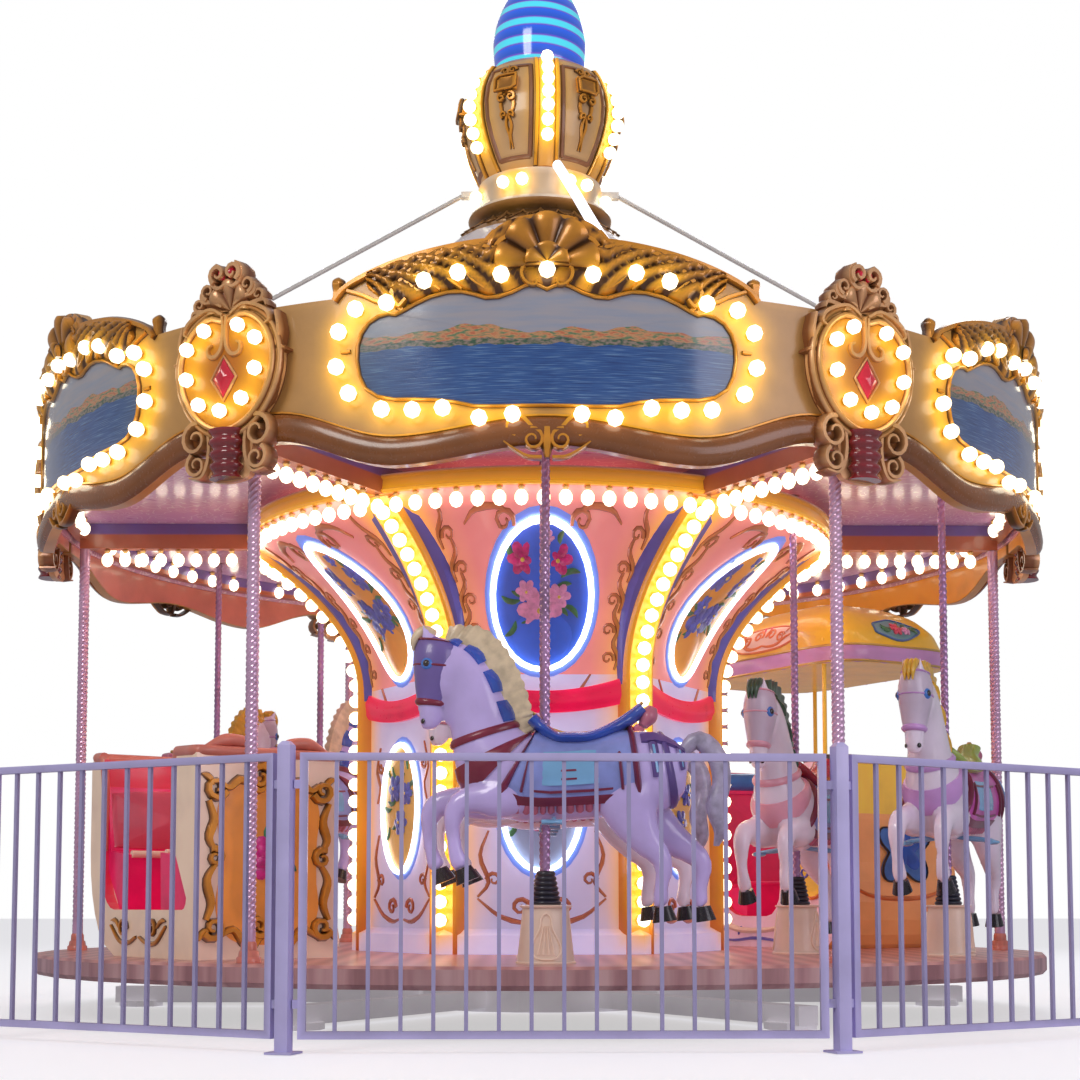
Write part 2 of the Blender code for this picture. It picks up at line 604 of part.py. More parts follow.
def fence_panel(width, bars):
    """Steel panel of square rails, stiles and thinner upright bars, in the XZ plane."""
    half, depth, thin = width / 2, 0.0135, FENCE_BAR / 2
    frame = block((-half, -depth, FENCE_FOOT), (half, depth, FENCE_TOP))
    rail, stile = 0.027, 0.028
    low, high = FENCE_FOOT + rail, FENCE_TOP - rail
    opening = block((-half + stile, -0.05, low), (half - stile, 0.05, high))
    frame = combine(frame, [opening], "DIFFERENCE")
    pitch = (width - stile) / (bars + 1)
    bm = bmesh.new()
    for k in range(1, bars + 1):
        x = -half + stile / 2 + k * pitch
        bm.from_mesh(block((x - thin, -thin, low - 0.005), (x + thin, thin, high + 0.005)))
    return combine(frame, [mesh_from(bm)])


def fence_post():
    """Square post with a bevelled cap on a base plate."""
    half = POST_SIZE / 2
    square = 2 ** 0.5
    plate = turned([(0.05 * square, 0.0), (0.05 * square, 0.008)], 4, 45)
    post = turned([(half * square, 0.004), (half * square, POST_TOP - 0.015), ((half - 0.012) * square, POST_TOP)],
                  4, 45)
    return combine(post, [plate])


def fence_bay(angle, bars, both_posts):
    """Panel of one bay with the post at its right, or posts at both ends, and the joints that carry it."""
    reach = FENCE_RING * math.sin(math.radians(angle / 2))
    flat = FENCE_RING * math.cos(math.radians(angle / 2))
    panel = moved(fence_panel(2 * reach - 2 * 0.048, bars), Matrix.Translation((0, -flat, 0)))
    lean = math.radians(angle / 2)
    near, far = (POST_SIZE / 2 + 0.008 * math.sin(lean)) / math.cos(lean) + 0.0004, 0.06
    pieces = [moved(fence_post(), Matrix.Translation((reach, -flat, 0)) @ Matrix.Rotation(math.radians(angle / 2), 4, "Z"))]
    inset = near
    if both_posts:
        pieces.append(moved(fence_post(), Matrix.Translation((-reach, -flat, 0))
                            @ Matrix.Rotation(math.radians(-angle / 2), 4, "Z")))
        inset = 0.01
    for low in (0.155, 0.915):
        pieces.append(block((reach - far, -flat - 0.008, low), (reach - 0.01, -flat + 0.008, low + 0.03)))
        pieces.append(block((-reach + inset, -flat - 0.008, low), (-reach + far, -flat + 0.008, low + 0.03)))
    return combine(panel, pieces)


def make_fence(finishes):
    """Fence round the front half of the ride: a long bay in the middle and shorter ones at its sides."""
    spans = [(FENCE_SIDE_ANGLE, FENCE_SIDE_BARS)] * FENCE_SIDE_BAYS
    spans = [*spans, (FENCE_MAIN_ANGLE, FENCE_MAIN_BARS), *spans]
    bearing = FENCE_TURN - sum(angle for angle, _ in spans) / 2
    for bay, (angle, bars) in enumerate(spans, 1):
        mesh = fence_bay(angle, bars, bay == 1)
        place(f"fence_bay_{bay}", moved(mesh, outward_matrix(bearing + angle / 2)), finishes["lavender"])
        bearing += angle


def main():
    """Build the whole carousel."""
    clear_scene()
    finishes = {
        "steel": material("grey_steel", (0.35, 0.35, 0.38), 0.45, 0.8),
        "deck": material("pink_deck", (0.80, 0.52, 0.50), 0.5),
        "pink_panel": material("pink_panel", (0.93, 0.66, 0.62), 0.4),
        "orange": material("orange_beam", (0.90, 0.45, 0.18), 0.4),
        "lilac": material("lilac_ceiling", (0.86, 0.68, 0.86), 0.45),
        "salmon": material("salmon_pole", (0.82, 0.47, 0.45), 0.35, 0.5),
        "cream": material("cream_shell", (0.90, 0.80, 0.62), 0.35),
        "gold": material("gold_ornament", (0.78, 0.52, 0.15), 0.3, 0.6),
        "red": material("red_paint", (0.75, 0.06, 0.10), 0.35),
        "blue": material("blue_dome", (0.05, 0.25, 0.85), 0.15),
        "white": material("white_horse", (0.88, 0.86, 0.92), 0.25),
        "yellow": material("yellow_shell", (0.92, 0.72, 0.15), 0.3),
        "lavender": material("lavender_steel", (0.66, 0.62, 0.76), 0.4, 0.2),
    }
    make_base(finishes)
    make_deck(finishes)
    make_column(finishes)
    make_ceiling(finishes)
    make_poles(finishes)
    make_boards(finishes)
    make_cartouches(finishes)
    make_roof(finishes)
    make_crown(finishes)
    make_horses(finishes)
    make_pedestals(finishes)
    make_chariot(finishes)
    make_carriage(finishes)
    make_fence(finishes)


main()
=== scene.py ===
"""Looks of the fairground carousel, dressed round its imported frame.

Metres, +Z up, the ground at z = 0 and the ride's axis at x = y = 0. A bearing is
an angle in degrees from the front (-Y) towards +X. A local design has x along the
surface to the right as seen from outside, y outwards and z up.
"""

import logging
import math
from collections.abc import Callable, Sequence
from dataclasses import dataclass, replace
from enum import Enum

import bmesh
import bpy
import numpy as np
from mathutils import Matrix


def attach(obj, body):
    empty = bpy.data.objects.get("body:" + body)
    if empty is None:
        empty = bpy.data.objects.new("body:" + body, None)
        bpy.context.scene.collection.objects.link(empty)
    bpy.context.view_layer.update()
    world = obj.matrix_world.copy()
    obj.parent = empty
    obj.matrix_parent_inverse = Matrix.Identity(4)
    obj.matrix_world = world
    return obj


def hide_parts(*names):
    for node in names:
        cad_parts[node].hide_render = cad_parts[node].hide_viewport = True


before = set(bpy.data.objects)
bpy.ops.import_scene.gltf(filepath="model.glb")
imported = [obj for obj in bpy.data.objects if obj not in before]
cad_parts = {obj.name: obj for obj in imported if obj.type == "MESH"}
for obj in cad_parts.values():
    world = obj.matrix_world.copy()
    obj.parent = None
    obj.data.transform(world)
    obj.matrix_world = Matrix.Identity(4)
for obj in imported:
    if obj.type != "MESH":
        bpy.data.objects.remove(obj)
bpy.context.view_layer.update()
LOG = logging.getLogger("carousel")

Array = np.ndarray
Colour = tuple[float, float, float]

BAY_BEARINGS = (-120.0, -60.0, 0.0, 60.0, 120.0, 180.0)
JOINT_BEARINGS = (-150.0, -90.0, -30.0, 30.0, 90.0, 150.0)
HORSE_BAYS = {"front": 0.0, "right": 60.0, "back": 180.0, "left_back": -120.0}
HORSE_RINGS = {"outer": 2.13, "inner": 1.40}


def tint(red: int, green: int, blue: int) -> Colour:
    """Linear colour of a screen colour given as 0 to 255.

    Args:
        red: Red share.
        green: Green share.
        blue: Blue share.

    Returns:
        Linear red, green and blue.
    """
    shares = np.array([red, green, blue]) / 255.0
    linear = np.where(shares <= 0.04045, shares / 12.92, ((shares + 0.055) / 1.055) ** 2.4)
    return tuple(float(v) for v in linear)


WARM_GLOW = tint(255, 186, 30)
COAT_ROUGHNESS = 0.08
BUMP_DEPTH = 0.004


def darker(share: float, colour: Colour) -> Colour:
    """A colour at a share of its strength."""
    return tuple(share * v for v in colour)


class Painter:
    """Node tree of one material, with a short call for each node it needs."""

    def __init__(self, name: str, roughness: float = 0.4, metallic: float = 0.0, coat: float = 0.0) -> None:
        """Start a Principled material.

        Args:
            name: Material name.
            roughness: Surface roughness.
            metallic: Metallic share.
            coat: Clear coat weight.
        """
        self.material = bpy.data.materials.new(name)
        self.material.use_nodes = True
        self.tree = self.material.node_tree
        self.shader = self.tree.nodes["Principled BSDF"]
        self.shader.inputs["Roughness"].default_value = roughness
        self.shader.inputs["Metallic"].default_value = metallic
        self.shader.inputs["Coat Weight"].default_value = coat
        self.shader.inputs["Coat Roughness"].default_value = COAT_ROUGHNESS

    def feed(self, socket: bpy.types.NodeSocket, value: object) -> None:
        """Link a socket to another one, or set its value; a colour gets an alpha of one."""
        if isinstance(value, bpy.types.NodeSocket):
            self.tree.links.new(value, socket)
        else:
            socket.default_value = (*value, 1.0) if socket.type == "RGBA" else value

    def node(self, kind: str, inputs: dict | None = None, **settings: object) -> bpy.types.Node:
        """Add a node.

        Args:
            kind: Node type name without its ShaderNode prefix.
            inputs: Sockets by name: a socket is linked, a value is set.
            settings: Attributes of the node.

        Returns:
            The new node.
        """
        made = self.tree.nodes.new("ShaderNode" + kind)
        for key, value in settings.items():
            setattr(made, key, value)
        for key, value in (inputs or {}).items():
            self.feed(made.inputs[key], value)
        return made

    def place(self, stretch: Sequence[float] = (1, 1, 1), uv: bool = False) -> bpy.types.NodeSocket:
        """Object or UV coordinates, stretched."""
        source = self.node("TexCoord").outputs["UV" if uv else "Object"]
        return self.node("Mapping", {"Vector": source, "Scale": stretch}).outputs["Vector"]

    def noise(self, scale: float, detail: float = 3.0, stretch: Sequence[float] = (1, 1, 1),
              uv: bool = False) -> bpy.types.NodeSocket:
        """Cloudy noise from 0 to 1."""
        spot = self.place(stretch, uv)
        return self.node("TexNoise", {"Vector": spot, "Scale": scale, "Detail": detail}).outputs["Fac"]

    def math(self, operation: str, first: object, second: object = 0.0) -> bpy.types.NodeSocket:
        """One arithmetic step on two sockets or numbers."""
        made = self.node("Math", operation=operation)
        self.feed(made.inputs[0], first)
        self.feed(made.inputs[1], second)
        return made.outputs[0]

    def span(self, factor: bpy.types.NodeSocket, low: float, high: float,
             top: float = 1.0) -> bpy.types.NodeSocket:
        """A factor that runs from 0 at low to top at high."""
        return self.node("MapRange",
                         {"Value": factor, "From Min": low, "From Max": high, "To Max": top}).outputs[0]

    def ramp(self, factor: bpy.types.NodeSocket,
             stops: Sequence[tuple[float, Colour]]) -> bpy.types.NodeSocket:
        """Colour from a factor through colour stops."""
        made = self.node("ValToRGB", {"Fac": factor})
        marks = made.color_ramp.elements
        while len(marks) < len(stops):
            marks.new(0.5)
        for mark, (spot, colour) in zip(marks, stops):
            mark.position = spot
            mark.color = (*colour, 1.0)
        return made.outputs["Color"]

    def mix(self, factor: object, first: object, second: object) -> bpy.types.NodeSocket:
        """Mix two colours by a factor. A Mix node keeps its colours in sockets 6 and 7 and in output 2."""
        made = self.node("Mix", data_type="RGBA")
        for index, value in ((0, factor), (6, first), (7, second)):
            self.feed(made.inputs[index], value)
        return made.outputs[2]

    def mark(self, name: str) -> bpy.types.NodeSocket:
        """A point attribute of the piece as a factor."""
        return self.node("Attribute", attribute_name=name).outputs["Fac"]

    def colour(self, source: object) -> None:
        """Set or link the base colour."""
        self.feed(self.shader.inputs["Base Color"], source)

    def rough(self, factor: bpy.types.NodeSocket, low: float, high: float) -> None:
        """Vary the roughness between two values."""
        made = self.node("MapRange", {"Value": factor, "To Min": low, "To Max": high})
        self.feed(self.shader.inputs["Roughness"], made.outputs[0])

    def bump(self, height: bpy.types.NodeSocket, strength: float) -> None:
        """Fine relief from a height factor."""
        made = self.node("Bump", {"Height": height, "Strength": strength, "Distance": BUMP_DEPTH})
        self.feed(self.shader.inputs["Normal"], made.outputs[0])

    def glow(self, colour: object, strength: object) -> None:
        """Light given off by the surface."""
        self.feed(self.shader.inputs["Emission Color"], colour)
        self.feed(self.shader.inputs["Emission Strength"], strength)

    def warmed(self, base: bpy.types.NodeSocket, lit: float) -> bpy.types.NodeSocket:
        """Turn a colour towards bulb light where bulbs are near, and let it glow there."""
        warm = self.mark("glow")
        self.glow(WARM_GLOW, self.math("MULTIPLY", warm, lit))
        return self.mix(self.math("MULTIPLY", warm, 0.8), base, WARM_GLOW)

    def hollows(self) -> bpy.types.NodeSocket:
        """Factor that is low in hollows and high on raised edges."""
        return self.span(self.node("NewGeometry").outputs["Pointiness"], 0.44, 0.56)


@dataclass(frozen=True)
class Paint:
    """Glossy paint with cloudy variation, painted shade in its hollows, painted warm bulb light near bulbs
    and an even painted glow of its own colour.
    """

    name: str
    colour: Colour
    shade: Colour
    roughness: float = 0.32
    coat: float = 0.35
    scale: float = 5.0
    metallic: float = 0.0
    lit: float = 0.0
    # Strength of an even painted glow of the paint's own colour, on a paint that is no lamp.
    shine: float = 0.0

    def make(self) -> bpy.types.Material:
        """Build the material."""
        paint = Painter(self.name, self.roughness, self.metallic, self.coat)
        base = paint.ramp(paint.noise(self.scale, 4.0), [(0.3, self.shade), (0.62, self.colour)])
        # Painted shade: in hollows, found by pointiness, the colour turns towards a deep shade.
        hollow_shade = paint.math("MULTIPLY", paint.math("SUBTRACT", 1.0, paint.hollows()), 0.55)
        base = paint.mix(hollow_shade, base, darker(0.45, self.shade))
        # Painted light: warm bulb light near bulbs, and an even painted glow of the paint's own colour.
        if self.lit:
            warm = paint.mark("glow")
            base = paint.mix(paint.math("MULTIPLY", warm, 0.85), base, WARM_GLOW)
            paint.glow(base, paint.math("ADD", paint.math("MULTIPLY", warm, self.lit), self.shine))
        elif self.shine:
            paint.glow(base, self.shine)
        paint.colour(base)
        fine = paint.noise(60.0, 2.0)
        paint.rough(fine, self.roughness * 0.75, self.roughness * 1.3)
        paint.bump(fine, 0.08)
        return paint.material


@dataclass(frozen=True)
class Gilt:
    """Gold paint with painted shade: deep brown in its hollows and on the low sides of its relief, and warm
    painted bulb light where bulbs are near.
    """

    name: str
    light: Colour
    deep: Colour
    lit: float

    def make(self) -> bpy.types.Material:
        """Build the material."""
        paint = Painter(self.name, 0.3, 0.35, 0.4)
        base = paint.ramp(paint.noise(9.0, 4.0), [(0.25, darker(0.62, self.light)), (0.7, self.light)])
        # Painted shade: the deep colour fills hollows, found by pointiness, and the low sides of the relief.
        base = paint.mix(paint.hollows(), self.deep, base)
        raised = paint.span(paint.mark("relief"), 0.56, 0.98)
        base = paint.mix(raised, self.deep, base)
        # Painted light: warm bulb light on the raised parts near bulbs.
        warm = paint.math("MULTIPLY", paint.mark("glow"), raised)
        base = paint.mix(paint.math("MULTIPLY", warm, 0.7), base, WARM_GLOW)
        paint.glow(WARM_GLOW, paint.math("MULTIPLY", warm, self.lit))
        paint.colour(base)
        fine = paint.noise(45.0, 3.0)
        paint.rough(fine, 0.22, 0.42)
        paint.bump(fine, 0.12)
        return paint.material


@dataclass(frozen=True)
class Lamp:
    """Lit glass: bright in the middle, warmer at its rim."""

    name: str
    core: Colour
    rim: Colour
    strength: float

    def make(self) -> bpy.types.Material:
        """Build the material."""
        paint = Painter(self.name, 0.25)
        facing = paint.node("LayerWeight", {"Blend": 0.25}).outputs["Facing"]
        colour = paint.ramp(facing, [(0.35, self.core), (0.95, self.rim)])
        paint.colour(self.core)
        paint.glow(colour, self.strength)
        paint.material.cycles.emission_sampling = "NONE"
        return paint.material


@dataclass(frozen=True)
class Landscape:
    """Painted board picture: hazy sky, low rounded hills and a rippled lake."""

    name: str
    sky: Colour = tint(188, 170, 158)
    hill: Colour = tint(196, 112, 78)
    meadow: Colour = tint(96, 128, 92)
    water: Colour = tint(44, 92, 158)

    def make(self) -> bpy.types.Material:
        """Build the material. U runs across the picture and V up it."""
        paint = Painter(self.name, 0.16, 0.0, 0.6)
        spot = paint.node("SeparateXYZ", {"Vector": paint.place(uv=True)})
        height, across = spot.outputs["Y"], spot.outputs["X"]
        haze = paint.noise(3.5, 4.0, (1.5, 4, 1), uv=True)
        sky = paint.mix(haze, self.sky, tint(120, 150, 186))
        ripple = paint.noise(5.0, 5.0, (2.2, 26, 1), uv=True)
        water = paint.ramp(ripple,
                           [(0.3, tint(24, 58, 118)), (0.55, self.water), (0.72, tint(120, 160, 196))])
        swell = paint.noise(2.1, 2.0, (2.4, 0.01, 1), uv=True)
        crest = paint.math("ADD", paint.math("MULTIPLY", swell, 0.34), 0.47)
        dabs = paint.noise(16.0, 3.0, (2.5, 3, 1), uv=True)
        land = paint.ramp(dabs, [(0.38, self.meadow), (0.52, tint(206, 150, 104)), (0.62, self.hill)])
        near = paint.noise(3.4, 2.0, (3.1, 0.01, 1), uv=True)
        shore = paint.math("ADD", paint.math("MULTIPLY", near, 0.12), 0.45)
        bank = paint.ramp(paint.noise(22.0, 3.0, (3, 2, 1), uv=True),
                          [(0.4, tint(58, 92, 70)), (0.6, tint(150, 132, 120))])
        picture = paint.mix(paint.math("GREATER_THAN", height, crest), land, sky)
        low_bank = paint.math("LESS_THAN", height, paint.math("ADD", shore, 0.05))
        picture = paint.mix(low_bank, picture, bank)
        picture = paint.mix(paint.math("LESS_THAN", height, shore), picture, water)
        edge = paint.math("ABSOLUTE", paint.math("SUBTRACT", across, 0.5))
        dusk = paint.math("MULTIPLY", paint.math("POWER", paint.math("MULTIPLY", edge, 2.0), 4.0), 0.45)
        paint.colour(paint.mix(dusk, picture, tint(70, 96, 110)))
        paint.bump(paint.noise(70.0, 2.0), 0.06)
        return paint.material


@dataclass(frozen=True)
class Split:
    """Paint in two colours, changing at a height."""

    name: str
    low: Colour
    high: Colour
    height: float
    lit: float

    def make(self) -> bpy.types.Material:
        """Build the material."""
        paint = Painter(self.name, 0.3, 0.0, 0.4)
        level = paint.node("SeparateXYZ", {"Vector": paint.place()}).outputs["Z"]
        cloud = paint.math("MULTIPLY", paint.noise(7.0, 4.0), 0.55)
        base = paint.mix(paint.span(level, self.height - 0.004, self.height + 0.004), self.low, self.high)
        paint.colour(paint.warmed(paint.mix(cloud, base, darker(0.35, self.low)), self.lit))
        paint.bump(paint.noise(55.0, 2.0), 0.08)
        return paint.material


@dataclass(frozen=True)
class Swirled:
    """Ground colour with painted curls: thresholded rings of warped distance cells."""

    name: str
    ground: Colour
    curl: Colour
    accent: Colour
    scale: float
    lit: float

    def make(self) -> bpy.types.Material:
        """Build the material."""
        paint = Painter(self.name, 0.28, 0.0, 0.45)
        warp = paint.node("TexNoise", {"Vector": paint.place(), "Scale": self.scale * 0.7, "Detail": 2.0})
        spot = paint.node("VectorMath", {0: paint.place(), 1: warp.outputs["Color"]},
                          operation="ADD").outputs[0]
        cells = paint.node("TexVoronoi", {"Vector": spot, "Scale": self.scale}).outputs["Distance"]
        rings = paint.math("ABSOLUTE", paint.math("SINE", paint.math("MULTIPLY", cells, 13.0)))
        base = paint.mix(paint.noise(3.0, 3.0), darker(0.7, self.ground), self.ground)
        base = paint.mix(paint.span(rings, 0.30, 0.18), base, self.curl)
        base = paint.mix(paint.span(cells, 0.13, 0.09), base, self.accent)
        paint.colour(paint.warmed(base, self.lit))
        paint.bump(paint.noise(55.0, 2.0), 0.06)
        return paint.material


@dataclass(frozen=True)
class Banded:
    """Lit glass dome: cyan spiral bands with violet edges over glossy blue."""

    name: str
    ground: Colour = tint(20, 78, 190)
    band: Colour = tint(70, 214, 236)
    edge: Colour = tint(110, 66, 190)
    pitch: float = 0.098

    def make(self) -> bpy.types.Material:
        """Build the material: the band's share is the fraction of turn plus height over pitch."""
        paint = Painter(self.name, 0.12, 0.0, 0.8)
        split = paint.node("SeparateXYZ", {"Vector": paint.place()})
        turn = paint.math("DIVIDE", paint.math("ARCTAN2", split.outputs["Y"], split.outputs["X"]), math.tau)
        climb = paint.math("DIVIDE", split.outputs["Z"], self.pitch)
        share = paint.math("FRACT", paint.math("ADD", turn, climb))
        stops = [(0.0, self.ground), (0.38, darker(1.4, self.ground)), (0.44, self.edge), (0.52, self.band),
                 (0.80, self.band), (0.88, self.edge), (0.96, self.ground)]
        colour = paint.ramp(share, stops)
        paint.colour(colour)
        paint.glow(colour, 0.55)
        return paint.material


@dataclass(frozen=True)
class Tub:
    """Car paint: one colour inside, one on its long sides, and two on its ends that change at a height."""

    name: str
    bearing: float
    ring: float
    inside: Colour
    side: Colour
    low: Colour
    high: Colour
    height: float

    def make(self) -> bpy.types.Material:
        """Build the material: a face is inside where it looks back at the car's middle."""
        paint = Painter(self.name, 0.28, 0.0, 0.45)
        start = math.radians(self.bearing)
        out = (math.sin(start), -math.cos(start), 0.0)
        middle = (self.ring * out[0], self.ring * out[1], 0.8)
        spot = paint.place()
        normal = paint.node("TexCoord").outputs["Normal"]
        from_middle = paint.node("VectorMath", {0: spot, 1: middle}, operation="SUBTRACT").outputs[0]
        away = paint.node("VectorMath", {0: normal, 1: from_middle}, operation="DOT_PRODUCT").outputs["Value"]
        across = paint.node("VectorMath", {0: normal, 1: out}, operation="DOT_PRODUCT").outputs["Value"]
        level = paint.node("SeparateXYZ", {"Vector": spot}).outputs["Z"]
        ends = paint.mix(paint.math("GREATER_THAN", level, self.height), self.low, self.high)
        base = paint.mix(paint.math("GREATER_THAN", paint.math("ABSOLUTE", across), 0.7), ends, self.side)
        base = paint.mix(paint.math("LESS_THAN", away, 0.0), base, self.inside)
        base = paint.mix(paint.span(paint.noise(5.0, 4.0), 0.35, 0.75, 0.3), base, darker(0.45, self.low))
        paint.colour(base)
        # Painted light: the car paint gives off a faint even glow of its own colour.
        paint.glow(base, 0.12)
        paint.bump(paint.noise(55.0, 2.0), 0.06)
        return paint.material


@dataclass(frozen=True)
class Decking:
    """Floor paint on the top, worn wood-brown on the rim."""

    name: str

    def make(self) -> bpy.types.Material:
        """Build the material."""
        paint = Painter(self.name, 0.38, 0.0, 0.2)
        level = paint.node("SeparateXYZ",
                           {"Vector": paint.node("NewGeometry").outputs["Normal"]}).outputs["Z"]
        planks = {"Vector": paint.place((1, 0.05, 1)), "Scale": 3.0, "Distortion": 0.6}
        top = paint.mix(paint.node("TexWave", planks).outputs["Fac"], tint(226, 164, 156),
                        tint(196, 136, 132))
        grain = paint.noise(9.0, 4.0, (1, 1, 0.08))
        rim = paint.ramp(grain,
                         [(0.35, tint(166, 118, 120)), (0.5, tint(198, 148, 148)),
                          (0.65, tint(220, 178, 176))])
        paint.colour(paint.mix(paint.math("GREATER_THAN", level, 0.5), rim, top))
        paint.rough(grain, 0.3, 0.5)
        paint.bump(grain, 0.1)
        return paint.material


def enamel(name: str, colour: tuple, share: float = 0.66, **settings: float) -> Paint:
    """Glossy paint from one screen colour, its shade a darker share of it."""
    return Paint(name, tint(*colour), darker(share, tint(*colour)), **settings)


class Finish(Enum):
    """Every finish of the ride, made when it is first asked for."""

    # A lit share paints warm bulb light near bulbs; the glow share paints an even painted glow of the paint's
    # own colour.
    BOARD_CREAM = enamel("board_paint", (220, 164, 92), 0.8, lit=0.28)
    GOLD = Gilt("gilt_leaf", tint(255, 170, 50), tint(74, 38, 14), 0.4)
    ORNAMENT = Gilt("cartouche_gold", tint(255, 196, 138), tint(140, 84, 48), 0.22)
    BRONZE = enamel("golden_brown", (150, 88, 42), 0.7, roughness=0.25)
    SHIELD = enamel("shield_yellow", (224, 124, 6), 0.85, lit=0.10)
    RUBY = enamel("ruby_glass", (226, 20, 60), 0.6, roughness=0.12, coat=0.8, shine=0.15)
    DRUM_RED = enamel("drum_red", (150, 14, 40), 0.5, roughness=0.15, coat=0.8)
    SALMON = enamel("salmon_back", (236, 140, 120), 0.8)
    # Painted light: the salmon board back painted amber for the yellow bulb light falling on the right-hand
    # boards, with an even painted glow.
    BACK_PAINTED_LAMPLIGHT = enamel("board_back_painted_lamplight", (250, 168, 50), 0.8, shine=0.12)
    PICTURE = Landscape("painted_landscape")
    BULB = Lamp("warm_bulb", tint(255, 250, 226), tint(255, 206, 96), 2.5)
    SMALL_BULB = Lamp("clear_bulb", tint(236, 236, 246), tint(150, 150, 170), 0.7)
    NEON = Lamp("pale_neon", tint(250, 252, 255), tint(120, 170, 255), 3.0)
    TUBE = Lamp("white_tube", tint(250, 250, 255), tint(206, 214, 240), 1.2)
    SOCKET = enamel("bulb_socket", (214, 168, 96), roughness=0.4)
    PANEL = enamel("panel_salmon", (255, 152, 152), 0.88, lit=0.22, shine=0.36)
    LOWER_PANEL = enamel("panel_cream_lilac", (218, 214, 255), 0.9, lit=0.08, shine=0.36)
    CHANNEL = enamel("channel_amber", (244, 178, 92), 0.85, lit=0.34)
    RIB = enamel("rib_orange", (236, 128, 60), 0.75, lit=0.18)
    PERIWINKLE = enamel("rib_periwinkle", (104, 108, 214), 0.8)
    SCROLL = Gilt("scroll_terracotta", tint(236, 150, 106), tint(166, 76, 52), 0.16)
    CRIMSON = enamel("swag_crimson", (250, 8, 84), 0.7, roughness=0.3, shine=0.42)
    OVAL_BLUE = enamel("oval_blue", (50, 112, 240), 0.8, shine=0.12)
    OVAL_AMBER = enamel("oval_amber", (248, 170, 66), 0.8, shine=0.10)
    OVAL_ROSE = enamel("oval_violet", (212, 98, 212), 0.8, shine=0.10)
    OVAL_SKY = enamel("oval_sky", (176, 206, 250), 0.85, shine=0.10)
    OVAL_YELLOW = enamel("oval_yellow", (252, 208, 96), 0.85, shine=0.08)
    HALO = enamel("neon_halo", (112, 150, 255), 0.9, shine=0.35)
    ROSE_BLUE = enamel("rose_blue", (96, 114, 226), 0.6, scale=30.0)
    ROSE_MAGENTA = enamel("rose_magenta", (232, 34, 146), 0.55, scale=30.0)
    ROSE_PINK = enamel("rose_pink", (250, 176, 222), 0.72, scale=30.0)
    HEART = enamel("rose_heart", (250, 220, 90), 0.7)
    LEAF = enamel("leaf_green", (60, 140, 90), 0.5, scale=20.0)
    BEAM = Split("beam_paint", tint(206, 110, 74), tint(104, 92, 190), 2.425, 0.3)
    CEILING = Swirled("ceiling_lilac", tint(240, 180, 226), tint(250, 226, 240), tint(190, 96, 176), 5.0,
                       0.34)
    CROWN_PANEL = enamel("crown_lilac", (232, 188, 136), 0.85, lit=0.2)
    CROWN_EDGE = enamel("crown_brown", (150, 98, 66), 0.7)
    NECK = enamel("neck_cream", (236, 222, 206), 0.85, lit=0.3)
    SKIRT = Gilt("skirt_bronze", tint(196, 142, 84), tint(70, 42, 24), 0.1)
    DOME = Banded("dome_bands")
    STEEL = enamel("grey_steel", (188, 186, 200), 0.75, metallic=0.3, coat=0.0)
    # An even painted glow lifts the pale base out of the shade under the deck.
    PALE = enamel("base_pale", (236, 232, 238), 0.9, coat=0.0, shine=0.3)
    STRING = enamel("string_cream", (236, 232, 226), 0.8, coat=0.0)
    MANE_CREAM = enamel("mane_cream", (236, 214, 178), 0.7, scale=20.0)
    MANE_GOLD = enamel("mane_gold", (250, 196, 56), 0.66, scale=20.0)
    MANE_GREEN = enamel("mane_green", (52, 96, 70), 0.45, scale=20.0)
    SADDLE_BLUE = enamel("saddle_blue", (36, 92, 204), 0.6, roughness=0.2, coat=0.7)
    SADDLE_RED = enamel("saddle_red", (190, 26, 54), 0.5, roughness=0.2, coat=0.7)
    SADDLE_GREEN = enamel("saddle_green", (176, 206, 96), 0.7, roughness=0.2, coat=0.7)
    SADDLE_SKY = enamel("harness_sky", (132, 190, 236), 0.7, roughness=0.2, coat=0.7)
    CLOTH_PURPLE = enamel("cloth_periwinkle", (150, 164, 236), 0.8, scale=14.0)
    CLOTH_PINK = enamel("cloth_pink", (222, 90, 190), 0.7, scale=14.0)
    TRIM_BURGUNDY = enamel("trim_burgundy", (128, 26, 66), 0.6)
    FRINGE = enamel("fringe_rose", (214, 120, 150), 0.6)
    COAT = enamel("horse_enamel", (252, 238, 255), 0.84, roughness=0.2, coat=0.5, shine=0.06)
